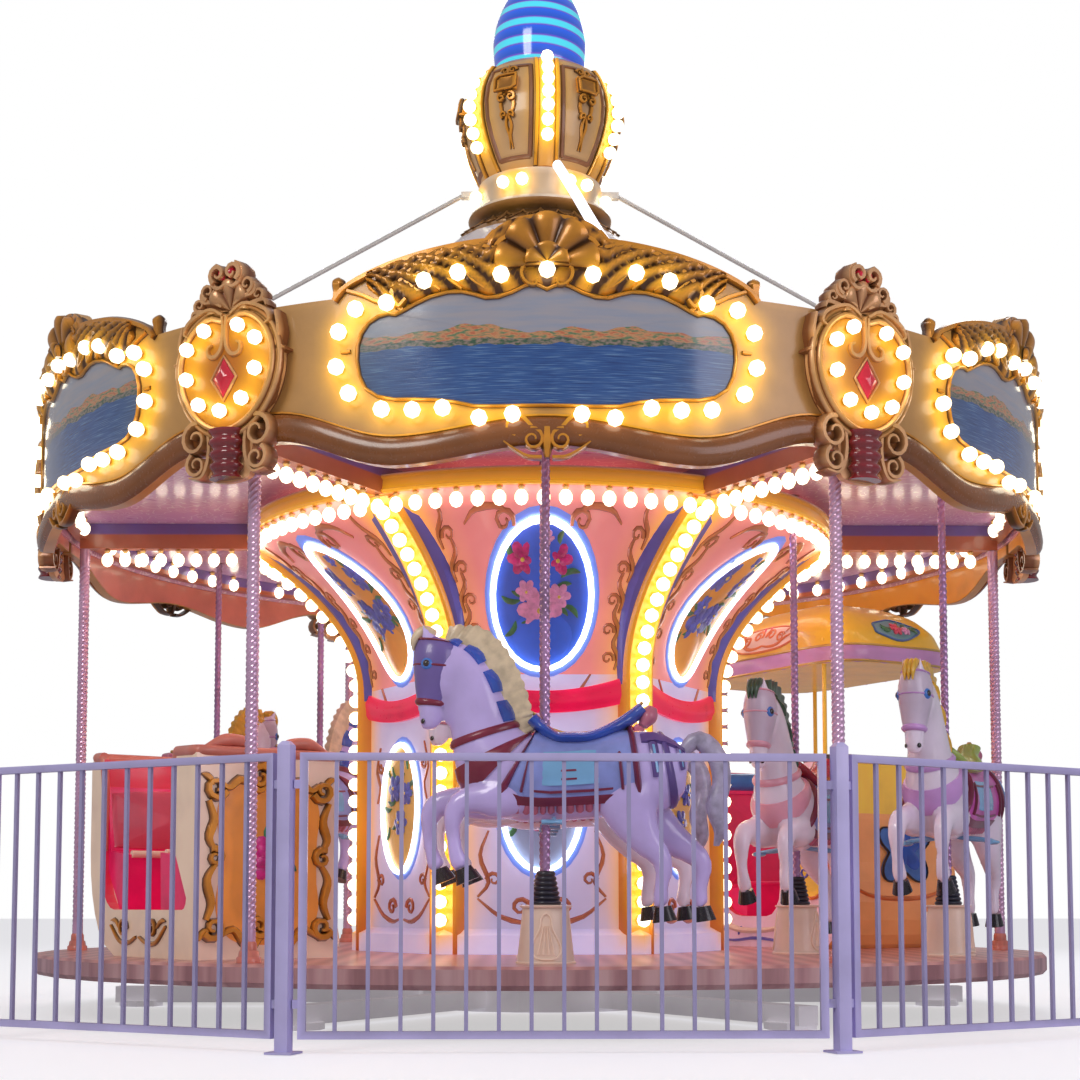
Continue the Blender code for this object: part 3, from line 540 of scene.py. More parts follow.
    # Painted shade: the white horse coat painted lavender for the violet light and shade on the front outer
    # horse.
    COAT_PAINTED_SHADE = enamel("horse_violet_painted_shade", (214, 194, 255), 0.82, roughness=0.2, coat=0.5, shine=0.08)
    MASK_VIOLET = enamel("mask_violet", (122, 104, 180), 0.8)
    SASH_LILAC = enamel("sash_lilac", (216, 164, 230), 0.8)
    SASH_PINK = enamel("sash_pink", (244, 176, 196), 0.8)
    HOOF = enamel("hoof_black", (30, 26, 34), 0.5, roughness=0.25)
    TAIL = enamel("tail_lavender", (186, 178, 206), 0.6, scale=24.0)
    STRAP = enamel("strap_burgundy", (140, 34, 66), 0.6)
    HARNESS = enamel("harness_violet", (100, 78, 150), 0.7)
    MASK = enamel("mask_cream", (222, 206, 226), 0.85)
    EYE_RING = enamel("eye_blue", (60, 130, 220), 0.7)
    EYE = enamel("eye_black", (12, 12, 16), 0.6, roughness=0.08, coat=1.0)
    CHROME = enamel("saddle_rim", (220, 184, 100), 0.7, metallic=0.4)
    BRASS = enamel("violet_chrome_pole", (196, 150, 200), 0.6, roughness=0.2, metallic=0.4)
    POLE = enamel("rose_chrome_pole", (236, 192, 226), 0.75, roughness=0.2, metallic=0.35)
    PEDESTAL = enamel("pedestal_paint", (255, 226, 204), 0.85, shine=0.06)
    BELLOWS = enamel("bellows_black", (26, 30, 52), 0.5, roughness=0.35)
    DECK = Decking("deck_paint")
    ROOF = enamel("roof_paint", (236, 226, 230), 0.9)
    CHARIOT = enamel("chariot_paint", (252, 222, 196), 0.86, shine=0.06)
    CHARIOT_FIELD = enamel("chariot_orange", (252, 158, 62), 0.8, shine=0.12)
    SEAT = enamel("seat_shell", (236, 24, 96), 0.7, shine=0.22)
    CUSHION = enamel("cushion_rose", (240, 92, 120), 0.75, roughness=0.4, coat=0.2)
    CUSHION_BLUE = enamel("cushion_blue", (66, 140, 230), 0.7, roughness=0.4, coat=0.2)
    YELLOW = enamel("canopy_yellow", (255, 206, 64), 0.85, shine=0.10)
    TUB = Tub("chariot_tub", -55.0, 1.84, tint(236, 30, 80), tint(252, 222, 192), tint(252, 218, 196),
              tint(252, 218, 196), 2.0)
    HULL = Tub("carriage_tub", 120.0, 1.80, tint(216, 24, 62), tint(246, 206, 222), tint(250, 170, 106),
               tint(252, 206, 74), 0.99)
    LAGOON = enamel("lagoon_green", (120, 176, 184), 0.8)
    LAGOON_EDGE = enamel("lagoon_blue", (76, 128, 206), 0.75)
    VALANCE = enamel("valance_lilac", (222, 168, 226), 0.85)
    INK = enamel("line_black", (28, 24, 40), 0.5)
    FENCE = enamel("fence_paint", (208, 200, 250), 0.85, roughness=0.35)

    def material(self) -> bpy.types.Material:
        """The Blender material of this finish."""
        name = self.value.name
        return bpy.data.materials.get(name) or self.value.make()


LIT = (Finish.SOCKET, Finish.BULB)


@dataclass
class Patch:
    """A closed surface: points, faces, a pattern place, and how raised each point is."""

    points: Array
    quads: Array
    tris: Array
    uv: Array
    slot: int = 0
    relief: Array | None = None

    def mapped(self, place: Callable[[Array], Array]) -> "Patch":
        """The same surface with its points moved by a placement."""
        return replace(self, points=place(self.points))

    def finish(self, slot: int) -> "Patch":
        """The same surface in another of its piece's finishes."""
        return replace(self, slot=slot)


def moved(patches: Sequence[Patch], place: Callable[[Array], Array]) -> list[Patch]:
    """Surfaces moved by a placement."""
    return [p.mapped(place) for p in patches]


def joined(*axes: object) -> Array:
    """Coordinates side by side in a last axis, each spread over the others' shape."""
    return np.stack(np.broadcast_arrays(*axes), -1)


def polar(reach: Array, angle: Array, z: Array) -> Array:
    """Points at a distance from the ride's axis, at an angle from the front, and at a height."""
    return joined(reach * np.sin(angle), -reach * np.cos(angle), z)


def circle(count: int) -> Array:
    """Angles evenly round a circle."""
    return np.linspace(0, math.tau, count, endpoint=False)


@dataclass(frozen=True)
class Around:
    """Puts a local design on a barrel or a flat side round the ride's axis."""

    bearing: float
    distance: float
    curved: bool = False

    def __call__(self, local: Array) -> Array:
        """Turn the side distance into an angle on a barrel, or keep it straight on a flat."""
        x, reach, z = local[..., 0], self.distance + local[..., 1], local[..., 2]
        start = math.radians(self.bearing)
        if self.curved:
            return polar(reach, start + x / self.distance, z)
        right, out = (math.cos(start), math.sin(start)), (math.sin(start), -math.cos(start))
        return joined(x * right[0] + reach * out[0], x * right[1] + reach * out[1], z)


def grid(points: Array, wrap: bool = True, caps: bool = True, slot: int = 0,
         uv: Array | None = None) -> Patch:
    """Faces over a grid of points, rows along and columns round.

    Args:
        points: Rows by columns by 3.
        wrap: Whether the last column meets the first.
        caps: Whether the first and last rows are closed by a fan to their middle.
        slot: Index of the finish.
        uv: Rows by columns by 2, or None for even shares.

    Returns:
        The surface.
    """
    rows, columns = points.shape[:2]
    index = np.arange(rows * columns).reshape(rows, columns)
    here = index if wrap else index[:, :-1]
    there = np.roll(index, -1, axis=1) if wrap else index[:, 1:]
    quads = np.stack([here[:-1], there[:-1], there[1:], here[1:]], -1).reshape(-1, 4)
    if uv is None:
        uv = np.stack(np.meshgrid(np.linspace(0, 1, columns), np.linspace(0, 1, rows)), -1)
    flat, flat_uv = points.reshape(-1, 3), uv.reshape(-1, 2)
    tris = np.zeros((0, 3), int)
    if caps:
        middle = np.stack([points[0].mean(0), points[-1].mean(0)])
        middle_uv = np.stack([uv[0].mean(0), uv[-1].mean(0)])
        first, last = rows * columns, rows * columns + 1
        start = np.stack([there[0], here[0], np.full(here.shape[1], first)], -1)
        stop = np.stack([here[-1], there[-1], np.full(here.shape[1], last)], -1)
        tris = np.concatenate([start, stop])
        flat, flat_uv = np.concatenate([flat, middle]), np.concatenate([flat_uv, middle_uv])
    return Patch(flat, quads, tris, flat_uv, slot)


def spline(points: Sequence[Sequence[float]], count: int) -> Array:
    """Smooth curve through points, by the cubic that takes each slope from its neighbours.

    Args:
        points: The points it passes through.
        count: Number of samples.

    Returns:
        The samples, count by dimensions.
    """
    knots = np.asarray(points, float)
    padded = np.concatenate([2 * knots[:1] - knots[1:2], knots, 2 * knots[-1:] - knots[-2:-1]])
    place = np.linspace(0, len(knots) - 1 - 1e-9, count)
    part = place.astype(int)
    t = (place - part)[:, None]
    a, b, c, d = (padded[part + k] for k in range(4))
    return 0.5 * (2 * b + (c - a) * t + (2 * a - 5 * b + 4 * c - d) * t ** 2
                  + (3 * b - a - 3 * c + d) * t ** 3)


def loop_spline(points: Sequence[Sequence[float]], count: int) -> Array:
    """Closed smooth curve through points, without its repeated last sample."""
    knots = list(points)
    spans = len(knots) + 4
    around = spline([*knots[-2:], *knots, *knots[:3]], 8 * spans)
    step = np.linspace(2, 2 + len(knots), count, endpoint=False) * (8 * spans - 1) / spans
    low = step.astype(int)
    share = (step - low)[:, None]
    return around[low] * (1 - share) + around[low + 1] * share


def spiral(centre: Sequence[float], radius: float, start: float, turns: float, count: int) -> Array:
    """Scroll curve: its radius falls to a quarter over the whole curve, in step with its angle.

    Args:
        centre: Middle of the scroll, x and z.
        radius: Radius at its start.
        start: Start angle in degrees from +x towards +z.
        turns: Number of turns, negative for clockwise.
        count: Number of samples.

    Returns:
        The samples, count by 2.
    """
    t = np.linspace(0, 1, count)
    angle = math.radians(start) + math.tau * turns * t
    reach = radius * (1 - 0.75 * t)
    return joined(centre[0] + reach * np.cos(angle), centre[1] + reach * np.sin(angle))


def sampled(corners: Sequence[Sequence[float]], count: int) -> Array:
    """Closed outline of straight runs between corners, each run in so many samples."""
    ring = np.array([*corners, corners[0]], float)
    return np.concatenate([np.linspace(a, b, count, endpoint=False) for a, b in zip(ring, ring[1:])])


def spread(values: float | Sequence[float], count: int) -> Array:
    """Numbers spread evenly over a count of samples."""
    knots = np.atleast_1d(np.asarray(values, float))
    return np.interp(np.linspace(0, 1, count), np.linspace(0, 1, len(knots)), knots)


def ridge(path: Array, width: float | Sequence[float], height: float | Sequence[float], rise: float = 0.0,
          sides: int = 6, slot: int = 0, ring: bool = False) -> Patch:
    """Rounded bead along a flat (x, z) path: an oval section square to the path.

    Args:
        path: Samples by 2.
        width: Half width, or values along the path.
        height: How far it stands out, or values along the path.
        rise: Distance of its middle from the surface.
        sides: Points round the section.
        slot: Index of the finish.
        ring: Whether the path is closed.

    Returns:
        The surface in local x, y, z.
    """
    count = max(min(8, len(path)), round(0.5 * len(path)))
    last = len(path) if ring else len(path) - 1
    path = path[np.round(np.linspace(0, last, count, endpoint=not ring)).astype(int)]
    if ring:
        run = np.roll(path, -1, axis=0) - np.roll(path, 1, axis=0)
    else:
        run = np.gradient(path, axis=0)
    run = run / (np.linalg.norm(run, axis=1, keepdims=True) + 1e-9)
    across = np.stack([-run[:, 1], run[:, 0]], -1)
    angle = np.linspace(0, math.tau, sides, endpoint=False)
    wide = spread(width, count)[:, None] * np.cos(angle)
    high = rise + spread(height, count)[:, None] * np.sin(angle)
    spot = path[:, None, :] + across[:, None, :] * wide[..., None]
    points = np.stack([spot[..., 0], high, spot[..., 1]], -1)
    if ring:
        made = grid(np.concatenate([points, points[:1]]), caps=False, slot=slot)
        last = sides * count
        made.quads = np.where(made.quads >= last, made.quads - last, made.quads)
        made = Patch(made.points[:last], made.quads, made.tris, made.uv[:last], slot)
    else:
        made = grid(points, slot=slot)
    # Share of the section that faces out, 0 against the surface and 1 on top; gilt paint turns low shares
    # into painted shade.
    raised = np.tile(0.5 + 0.5 * np.sin(angle), count)
    made.relief = np.concatenate([raised, np.full(len(made.points) - len(raised), 0.3)])
    return made


def plate(outline: Array, low: float, high: float, crown: float = 0.0, rings: int = 6, slot: int = 0,
          edge: float = 0.0) -> Patch:
    """Closed plate over a star-shaped outline, its front crowned as 1 minus the square of the reach.

    Args:
        outline: Samples by 2, going round.
        low: Depth of the back.
        high: Height of the front at its edge.
        crown: Extra height in the middle.
        rings: Rings over the front.
        slot: Index of the finish.
        edge: Rounding of the rim.

    Returns:
        The surface in local x, y, z, with UV over the outline's box.
    """
    middle = (outline.max(0) + outline.min(0)) / 2
    share = np.concatenate([[1.0, 1.0], 1 - np.linspace(0.0, 0.97, rings + 1) ** 1.3])
    reach = middle + (outline - middle)[None] * share[:, None, None]
    depth = np.concatenate([[low, high - edge], high + crown * (1 - share[2:] ** 2)])
    box = np.ptp(outline, axis=0)
    if edge:
        reach[2] = middle + (outline - middle) * (1 - edge / (box.max() / 2))
    points = joined(reach[..., 0], depth[:, None], reach[..., 1])
    return grid(points, slot=slot, uv=(reach - outline.min(0)) / box)


def fan(centre: Sequence[float], wide: float, high: float, lobes: int, depth: float,
        rise: float = 0.0) -> Patch:
    """Fluted shell: rays from a foot, their height the root of a sine round the half circle.

    Args:
        centre: Foot of the shell, x and z.
        wide: Half width.
        high: Height.
        lobes: Number of flutes.
        depth: How far the flutes stand out at the rim.
        rise: Distance of its back from the surface.

    Returns:
        The surface in local x, y, z.
    """
    turn = np.linspace(-0.12, math.pi + 0.12, 8 * lobes + 1)[None]
    share = np.array([0.04, 0.2, 0.4, 0.6, 0.78, 0.9, 0.97, 1.0])[:, None]
    flute = np.abs(np.sin(0.5 * math.pi + (turn - math.pi / 2) * lobes / 2)) ** 0.5
    edge = share * (1 + 0.09 * (flute - 1) * share)
    swell = np.sin(np.pi * share ** 2.2 * 0.97) ** 0.5 * 0.55 + 0.45 * (share < 0.99)
    y = rise + depth * (0.25 + 0.75 * flute) * swell * (0.35 + 0.65 * share)
    x, z = centre[0] + wide * edge * np.cos(turn), centre[1] + high * edge * np.sin(turn)
    front, back = joined(x, y, z), joined(x, rise - 0.004, z)[:, ::-1]
    made = grid(np.concatenate([front, back], 1))
    raised = np.concatenate([0.3 + 0.7 * flute + 0 * share, np.zeros_like(y)], 1).ravel()
    made.relief = np.concatenate([raised, [0.2, 0.2]])
    return made


def globes(centres: Array, outwards: Array, radius: float, slot: int = 0, rows: int = 5, columns: int = 8,
           reach: float = 1.0) -> Patch:
    """Many like globes: one unit ball turned to each direction and moved to each centre.

    Args:
        centres: Count by 3.
        outwards: Count by 3, the direction that each faces.
        radius: Radius of a globe.
        slot: Index of the finish.
        rows: Rows of faces from back to front.
        columns: Faces round.
        reach: Stretch along the direction.

    Returns:
        All the globes as one surface.
    """
    fall, turn = np.linspace(0.02, math.pi - 0.02, rows + 1)[:, None], circle(columns)
    unit = grid(joined(np.sin(fall) * np.cos(turn), np.sin(fall) * np.sin(turn), reach * np.cos(fall)))
    front = outwards / np.linalg.norm(outwards, axis=1, keepdims=True)
    helper = np.where(np.abs(front[:, 2:]) > 0.9, [[1.0, 0, 0]], [[0, 0, 1.0]])
    side = np.cross(helper, front)
    side /= np.linalg.norm(side, axis=1, keepdims=True)
    up = np.cross(front, side)
    ball = unit.points[None]
    turned = ball[..., :1] * side[:, None] + ball[..., 1:2] * up[:, None] + ball[..., 2:] * front[:, None]
    points = centres[:, None] + radius * turned
    shift = (np.arange(len(centres)) * len(unit.points))[:, None, None]
    quads = (unit.quads[None] + shift).reshape(-1, 4)
    tris = (unit.tris[None] + shift).reshape(-1, 3)
    return Patch(points.reshape(-1, 3), quads, tris, np.tile(unit.uv, (len(centres), 1)), slot)


def bulbs(local: Array, place: Callable[[Array], Array], radius: float, stand: float) -> list[Patch]:
    """Round bulbs with their sockets on a placed surface.

    Args:
        local: Count by 3, where each socket sits.
        place: Placement of the surface.
        radius: Bulb radius.
        stand: Distance from the surface to the bulb's middle.

    Returns:
        Sockets in finish 0 and glass in finish 1.
    """
    foot, tip = place(local), place(local + [0, stand, 0])
    away = tip - foot
    return [globes(foot + 0.25 * away, away, radius * 0.62, 0, 2, 6), globes(tip, away, radius, 1)]


def near_glow(points: Array, centres: Array, reach: float) -> Array:
    """Glow at points near bulbs: the sum over bulbs of exp(-(distance / reach) squared), at most 1."""
    gap = np.linalg.norm(points[:, None] - centres[None], axis=2)
    return np.clip(np.exp(-(gap / reach) ** 2).sum(1), 0, 1)


def piece(name: str, patches: Sequence[Patch], finishes: Sequence[Finish], body: str = "rotor",
          replaces: Sequence[str] = (), lamps: Array | None = None,
          reach: float = 0.07, sharp: float = 50.0) -> bpy.types.Object:
    """Join surfaces into one object at the origin and bind it to the frame.

    Args:
        name: Object name.
        patches: Its surfaces, in world metres.
        finishes: Its finishes, by slot index.
        body: The body that it rides on.
        replaces: CAD nodes that it stands for.
        lamps: Bulb centres that light it.
        reach: How far their light shows.
        sharp: Angle in degrees past which an edge stays sharp.

    Returns:
        The object.
    """
    starts = np.cumsum([0, *[len(p.points) for p in patches]])
    points = np.concatenate([p.points for p in patches])
    quads = np.concatenate([p.quads + s for p, s in zip(patches, starts)])
    tris = np.concatenate([p.tris + s for p, s in zip(patches, starts)])
    corners = np.concatenate([quads.ravel(), tris.ravel()]).astype(np.int32)
    totals = np.concatenate([np.full(len(quads), 4), np.full(len(tris), 3)]).astype(np.int32)
    marks = np.concatenate([np.concatenate([np.full(len(p.quads), p.slot) for p in patches]),
                            np.concatenate([np.full(len(p.tris), p.slot) for p in patches])]).astype(np.int32)
    mesh = bpy.data.meshes.new(name)
    mesh.vertices.add(len(points))
    mesh.vertices.foreach_set("co", points.astype(np.float32).ravel())
    mesh.loops.add(len(corners))
    mesh.loops.foreach_set("vertex_index", corners)
    mesh.polygons.add(len(totals))
    mesh.polygons.foreach_set("loop_start", np.concatenate([[0], np.cumsum(totals)[:-1]]).astype(np.int32))
    mesh.polygons.foreach_set("material_index", marks)
    mesh.update(calc_edges=True)
    layer = mesh.uv_layers.new(name="pattern")
    uv = np.concatenate([p.uv for p in patches])
    layer.data.foreach_set("uv", uv[corners].astype(np.float32).ravel())
    glow = np.zeros(len(points)) if lamps is None else near_glow(points, lamps, reach)
    mesh.attributes.new("glow", "FLOAT", "POINT").data.foreach_set("value", glow.astype(np.float32))
    # How raised each point is; gilt paint darkens low points with it as painted shade.
    relief = np.concatenate([np.ones(len(p.points)) if p.relief is None else p.relief for p in patches])
    mesh.attributes.new("relief", "FLOAT", "POINT").data.foreach_set("value", relief.astype(np.float32))
    shape = bmesh.new()
    shape.from_mesh(mesh)
    bmesh.ops.recalc_face_normals(shape, faces=shape.faces)
    shape.to_mesh(mesh)
    shape.free()
    mesh.shade_smooth()
    mesh.set_sharp_from_angle(angle=math.radians(sharp))
    for finish in finishes:
        mesh.materials.append(finish.material())
    made = bpy.data.objects.new(name, mesh)
    bpy.context.scene.collection.objects.link(made)
    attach(made, body)
    if replaces:
        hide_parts(*replaces)
    LOG.info("%s: %d faces on %s", name, len(totals), body)
    return made


def mirrored(local: Sequence[Patch]) -> list[Patch]:
    """The surfaces and their mirror images in local x."""
    flip = np.array([-1.0, 1.0, 1.0])
    return [*local, *[p.mapped(lambda points: points * flip) for p in local]]


@dataclass
class RoundingBoards:
    """Six curved boards with their crests, pictures, mouldings and bulbs."""

    radius: float = 2.49
    inner: float = 2.44
    half_angle: float = 29.6
    top: float = 2.88
    crest_rise: float = 0.205
    shell_rise: float = 0.085
    crest_half: float = 0.843
    moulding: float = 0.055
    bulb_radius: float = 0.034
    bulb_stand: float = 0.035
    bulb_spots: tuple = ((0.0, 2.938), (4.0, 2.920), (7.8, 2.933), (10.8, 2.908), (14.2, 2.831),
                         (17.1, 2.817), (18.7, 2.733), (18.9, 2.595), (17.7, 2.486), (14.6, 2.413),
                         (11.8, 2.403), (9.1, 2.405), (5.9, 2.362), (3.0, 2.374))
    picture_half: tuple = ((0.0, 2.869), (0.04, 2.889), (0.08, 2.885), (0.15, 2.852), (0.223, 2.837),
                           (0.29, 2.857), (0.356, 2.869), (0.45, 2.853), (0.53, 2.819), (0.587, 2.791),
                           (0.625, 2.797), (0.690, 2.775), (0.732, 2.72), (0.747, 2.650), (0.735, 2.56),
                           (0.692, 2.490), (0.60, 2.458), (0.488, 2.451), (0.38, 2.44), (0.266, 2.415),
                           (0.13, 2.415), (0.0, 2.415))

    @property
    def end(self) -> float:
        """Half length of a board along its curve."""
        return self.radius * math.radians(self.half_angle)

    def foot(self, x: Array) -> Array:
        """Height of the lower edge: a wave, low at 0.45 of the half length, high at its end."""
        share = np.abs(x) / self.end
        inner = 2.265 - 0.065 * np.sin(np.pi * np.clip(share, 0, 0.9) / 0.9) ** 2
        outer = 2.20 + 0.135 * np.sin(np.pi / 2 * np.clip((share - 0.45) / 0.42, 0, 1)) ** 2
        return np.where(share < 0.45, inner, outer)

    def head(self, x: Array) -> Array:
        """Height of the upper edge: plain, then a rounded crest with the shell's rise in its middle."""
        share = np.clip(np.abs(x) / self.crest_half, 0, 1)
        shell = np.clip(1 - (x / 0.219) ** 2, 0, 1) ** 0.5
        return self.top + self.crest_rise * np.cos(share * np.pi / 2) ** 0.6 + self.shell_rise * shell

    def face(self) -> Patch:
        """Shell of the board: columns climb its front and come down its back."""
        across = np.linspace(-1, 1, 97) * self.end
        climb = np.linspace(0, 1, 21)
        low, high = self.foot(across)[:, None], self.head(across)[:, None]
        front = low + (high - low) * climb
        back = low + (high - low) * climb[::-5]
        depth = np.concatenate([np.zeros(len(climb)), np.full(back.shape[1], self.inner - self.radius)])
        return grid(joined(across[:, None], depth, np.concatenate([front, back], 1)))

    def lining(self) -> Patch:
        """Thin skin over the back of the board."""
        across = np.linspace(-0.995, 0.995, 61) * self.end
        low, high = self.foot(across)[:, None] + 0.004, self.head(across)[:, None] - 0.006
        z = low + (high - low) * np.array([0.0, 0.5, 1.0, 1.0, 0.5, 0.0])
        depth = self.inner - self.radius - np.repeat([0.0004, 0.002], 3)
        return grid(joined(across[:, None], depth, z))

    def outline(self, count: int = 120) -> Array:
        """Closed outline of the picture, from its right half and the mirror of it."""
        half = list(self.picture_half)
        left = [(-x, z) for x, z in reversed(half[1:-1])]
        return loop_spline([*half, *left], count)

    def crest(self) -> Patch:
        """Carved field over the picture: flutes that lean outwards and fade at the rim."""
        across = np.linspace(-0.70, 0.70, 116)
        rows = np.linspace(0, 1, 13)
        reach = np.abs(across)
        ends = np.array(self.picture_half[:9])
        low = np.interp(reach, ends[:, 0], ends[:, 1]) + 0.012
        low = np.where(reach > 0.58, 2.805 + (reach - 0.58) * 0.8, low)
        high = np.maximum(self.head(across) - 0.004, low + 0.004)
        z = low[:, None] + (high - low)[:, None] * rows
        flute = np.abs(np.sin(np.pi * (reach[:, None] * 11.0 - 3.4 * rows ** 1.5))) ** 0.6
        fade = np.clip((reach[:, None] - 0.12) / 0.08, 0, 1) * np.sin(np.pi * rows) ** 0.5
        front = joined(across[:, None], 0.008 + 0.034 * flute * fade + 0.010 * rows, z)
        back = joined(across[:, None], -0.004, z)[:, ::-1]
        made = grid(np.concatenate([front, back], 1))
        raised = np.concatenate([np.clip(flute + 0.2 * rows, 0, 1), np.zeros_like(flute)], 1).ravel()
        made.relief = np.concatenate([raised, [0.5, 0.5]])
        return made

    def carving(self) -> list[Patch]:
        """Beads, scrolls, shell and foot ornament of one board, in local design space."""
        edge = np.linspace(0.20, self.crest_half, 40)
        half = [ridge(np.stack([edge, self.head(edge) - 0.012], -1), [0.017, 0.02, 0.014], 0.03),
                curl((0.125, 3.009), 0.075, 20, 1.2, 40, [0.016, 0.012, 0.007], 0.04),
                vine([(0.20, 3.029), (0.30, 3.045), (0.42, 3.019), (0.53, 2.951), (0.60, 2.878),
                      (0.575, 2.821), (0.545, 2.847)], 44, [0.012, 0.018, 0.01], 0.036),
                curl((0.30, 2.977), 0.06, -30, 1.1, 30, [0.012, 0.006], 0.034),
                vine([(0.075, 2.983), (0.098, 2.936), (0.08, 2.894), (0.045, 2.884), (0.038, 2.910)],
                      24, [0.012, 0.006], 0.036),
                vine([(0.56, 2.805), (0.60, 2.837), (0.66, 2.847), (0.72, 2.878), (0.79, 2.904)],
                     24, [0.012, 0.010], 0.022)]
        for shift in range(4):
            start = 0.24 + 0.085 * shift
            arm = [(start, 2.873), (start + 0.055, 2.920), (start + 0.07, 2.983 - 0.012 * shift),
                   (start + 0.02, 3.029 - 0.02 * shift)]
            half.append(vine(arm, 22, [0.006, 0.012, 0.005], 0.034))
        knob = np.array([[0.839, 2.878], [0.839, 2.910], [0.839, 2.936], [0.839, 2.956], [0.839, 2.970]])
        half.append(vine(knob, 14, [0.028, 0.024, 0.03, 0.03, 0.008],
                         [0.03, 0.025, 0.032, 0.03, 0.008], -0.02))
        half.append(ridge(np.array([[0.775, 2.662], [0.79, 2.662], [0.815, 2.662]]), [0.008, 0.011, 0.008],
                           0.016))
        half += [curl((0.055, 2.280), 0.045, 80, 1.3, 34, [0.013, 0.006], 0.034),
                 vine([(0.055, 2.326), (0.10, 2.373), (0.145, 2.358), (0.15, 2.311), (0.12, 2.295)],
                       26, [0.014, 0.006], 0.032),
                 vine([(0.02, 2.212), (0.075, 2.217), (0.13, 2.248), (0.165, 2.274)], 20,
                      [0.012, 0.005], 0.03)]
        parts = mirrored(half)
        parts.append(fan((0.0, 2.965), 0.205, 0.205, 9, 0.055, 0.012))
        parts.append(fan((0.0, 2.965), 0.085, 0.075, 5, 0.03, 0.05))
        parts.append(ridge(np.array([[0.0, 2.212], [0.0, 2.264], [0.0, 2.326], [0.0, 2.363]]),
                           [0.01, 0.026, 0.02, 0.004], [0.02, 0.04, 0.035, 0.01]))
        return parts

    def build(self) -> None:
        """Make the six boards."""
        spots = np.array([(math.radians(a) * self.radius, 0.0, z) for a, z in self.bulb_spots])
        spots = np.concatenate([spots, spots[1:] * [-1, 1, 1]])
        outline = self.outline()
        along = np.linspace(-self.end, self.end, 120)
        low = self.foot(along)
        face = [self.face(), ridge(joined(along, low + self.moulding), self.moulding, 0.030, 0.0, 12, 1),
                ridge(joined(along, low + 2 * self.moulding + 0.004), 0.007, 0.014, 0.0, 6, 2)]
        carving = [self.crest(), ridge(outline, 0.008, 0.016, 0.004, 8, ring=True), *self.carving()]
        picture = plate(outline, -0.01, 0.004, 0.0, 4)
        for number, bearing in enumerate(BAY_BEARINGS, 1):
            place = Around(bearing, self.radius, curved=True)
            lamps = place(spots + [0, self.bulb_stand, 0])
            piece(f"board_{number}_face", moved(face, place),
                  [Finish.BOARD_CREAM, Finish.BRONZE, Finish.GOLD],
                  replaces=[f"rounding_board_{number}"], lamps=lamps, reach=0.085)
            piece(f"board_{number}_carving", moved(carving, place), [Finish.GOLD],
                  lamps=lamps, reach=0.055)
            # Boards on the right take the back painted amber for the bulb light on them; the others keep the
            # plain salmon back.
            back = Finish.BACK_PAINTED_LAMPLIGHT if bearing > 0 else Finish.SALMON
            piece(f"board_{number}_lining", moved([self.lining()], place), [back])
            piece(f"board_{number}_picture", moved([picture], place), [Finish.PICTURE])
            piece(f"board_{number}_bulbs", bulbs(spots, place, self.bulb_radius, 0.038), LIT)


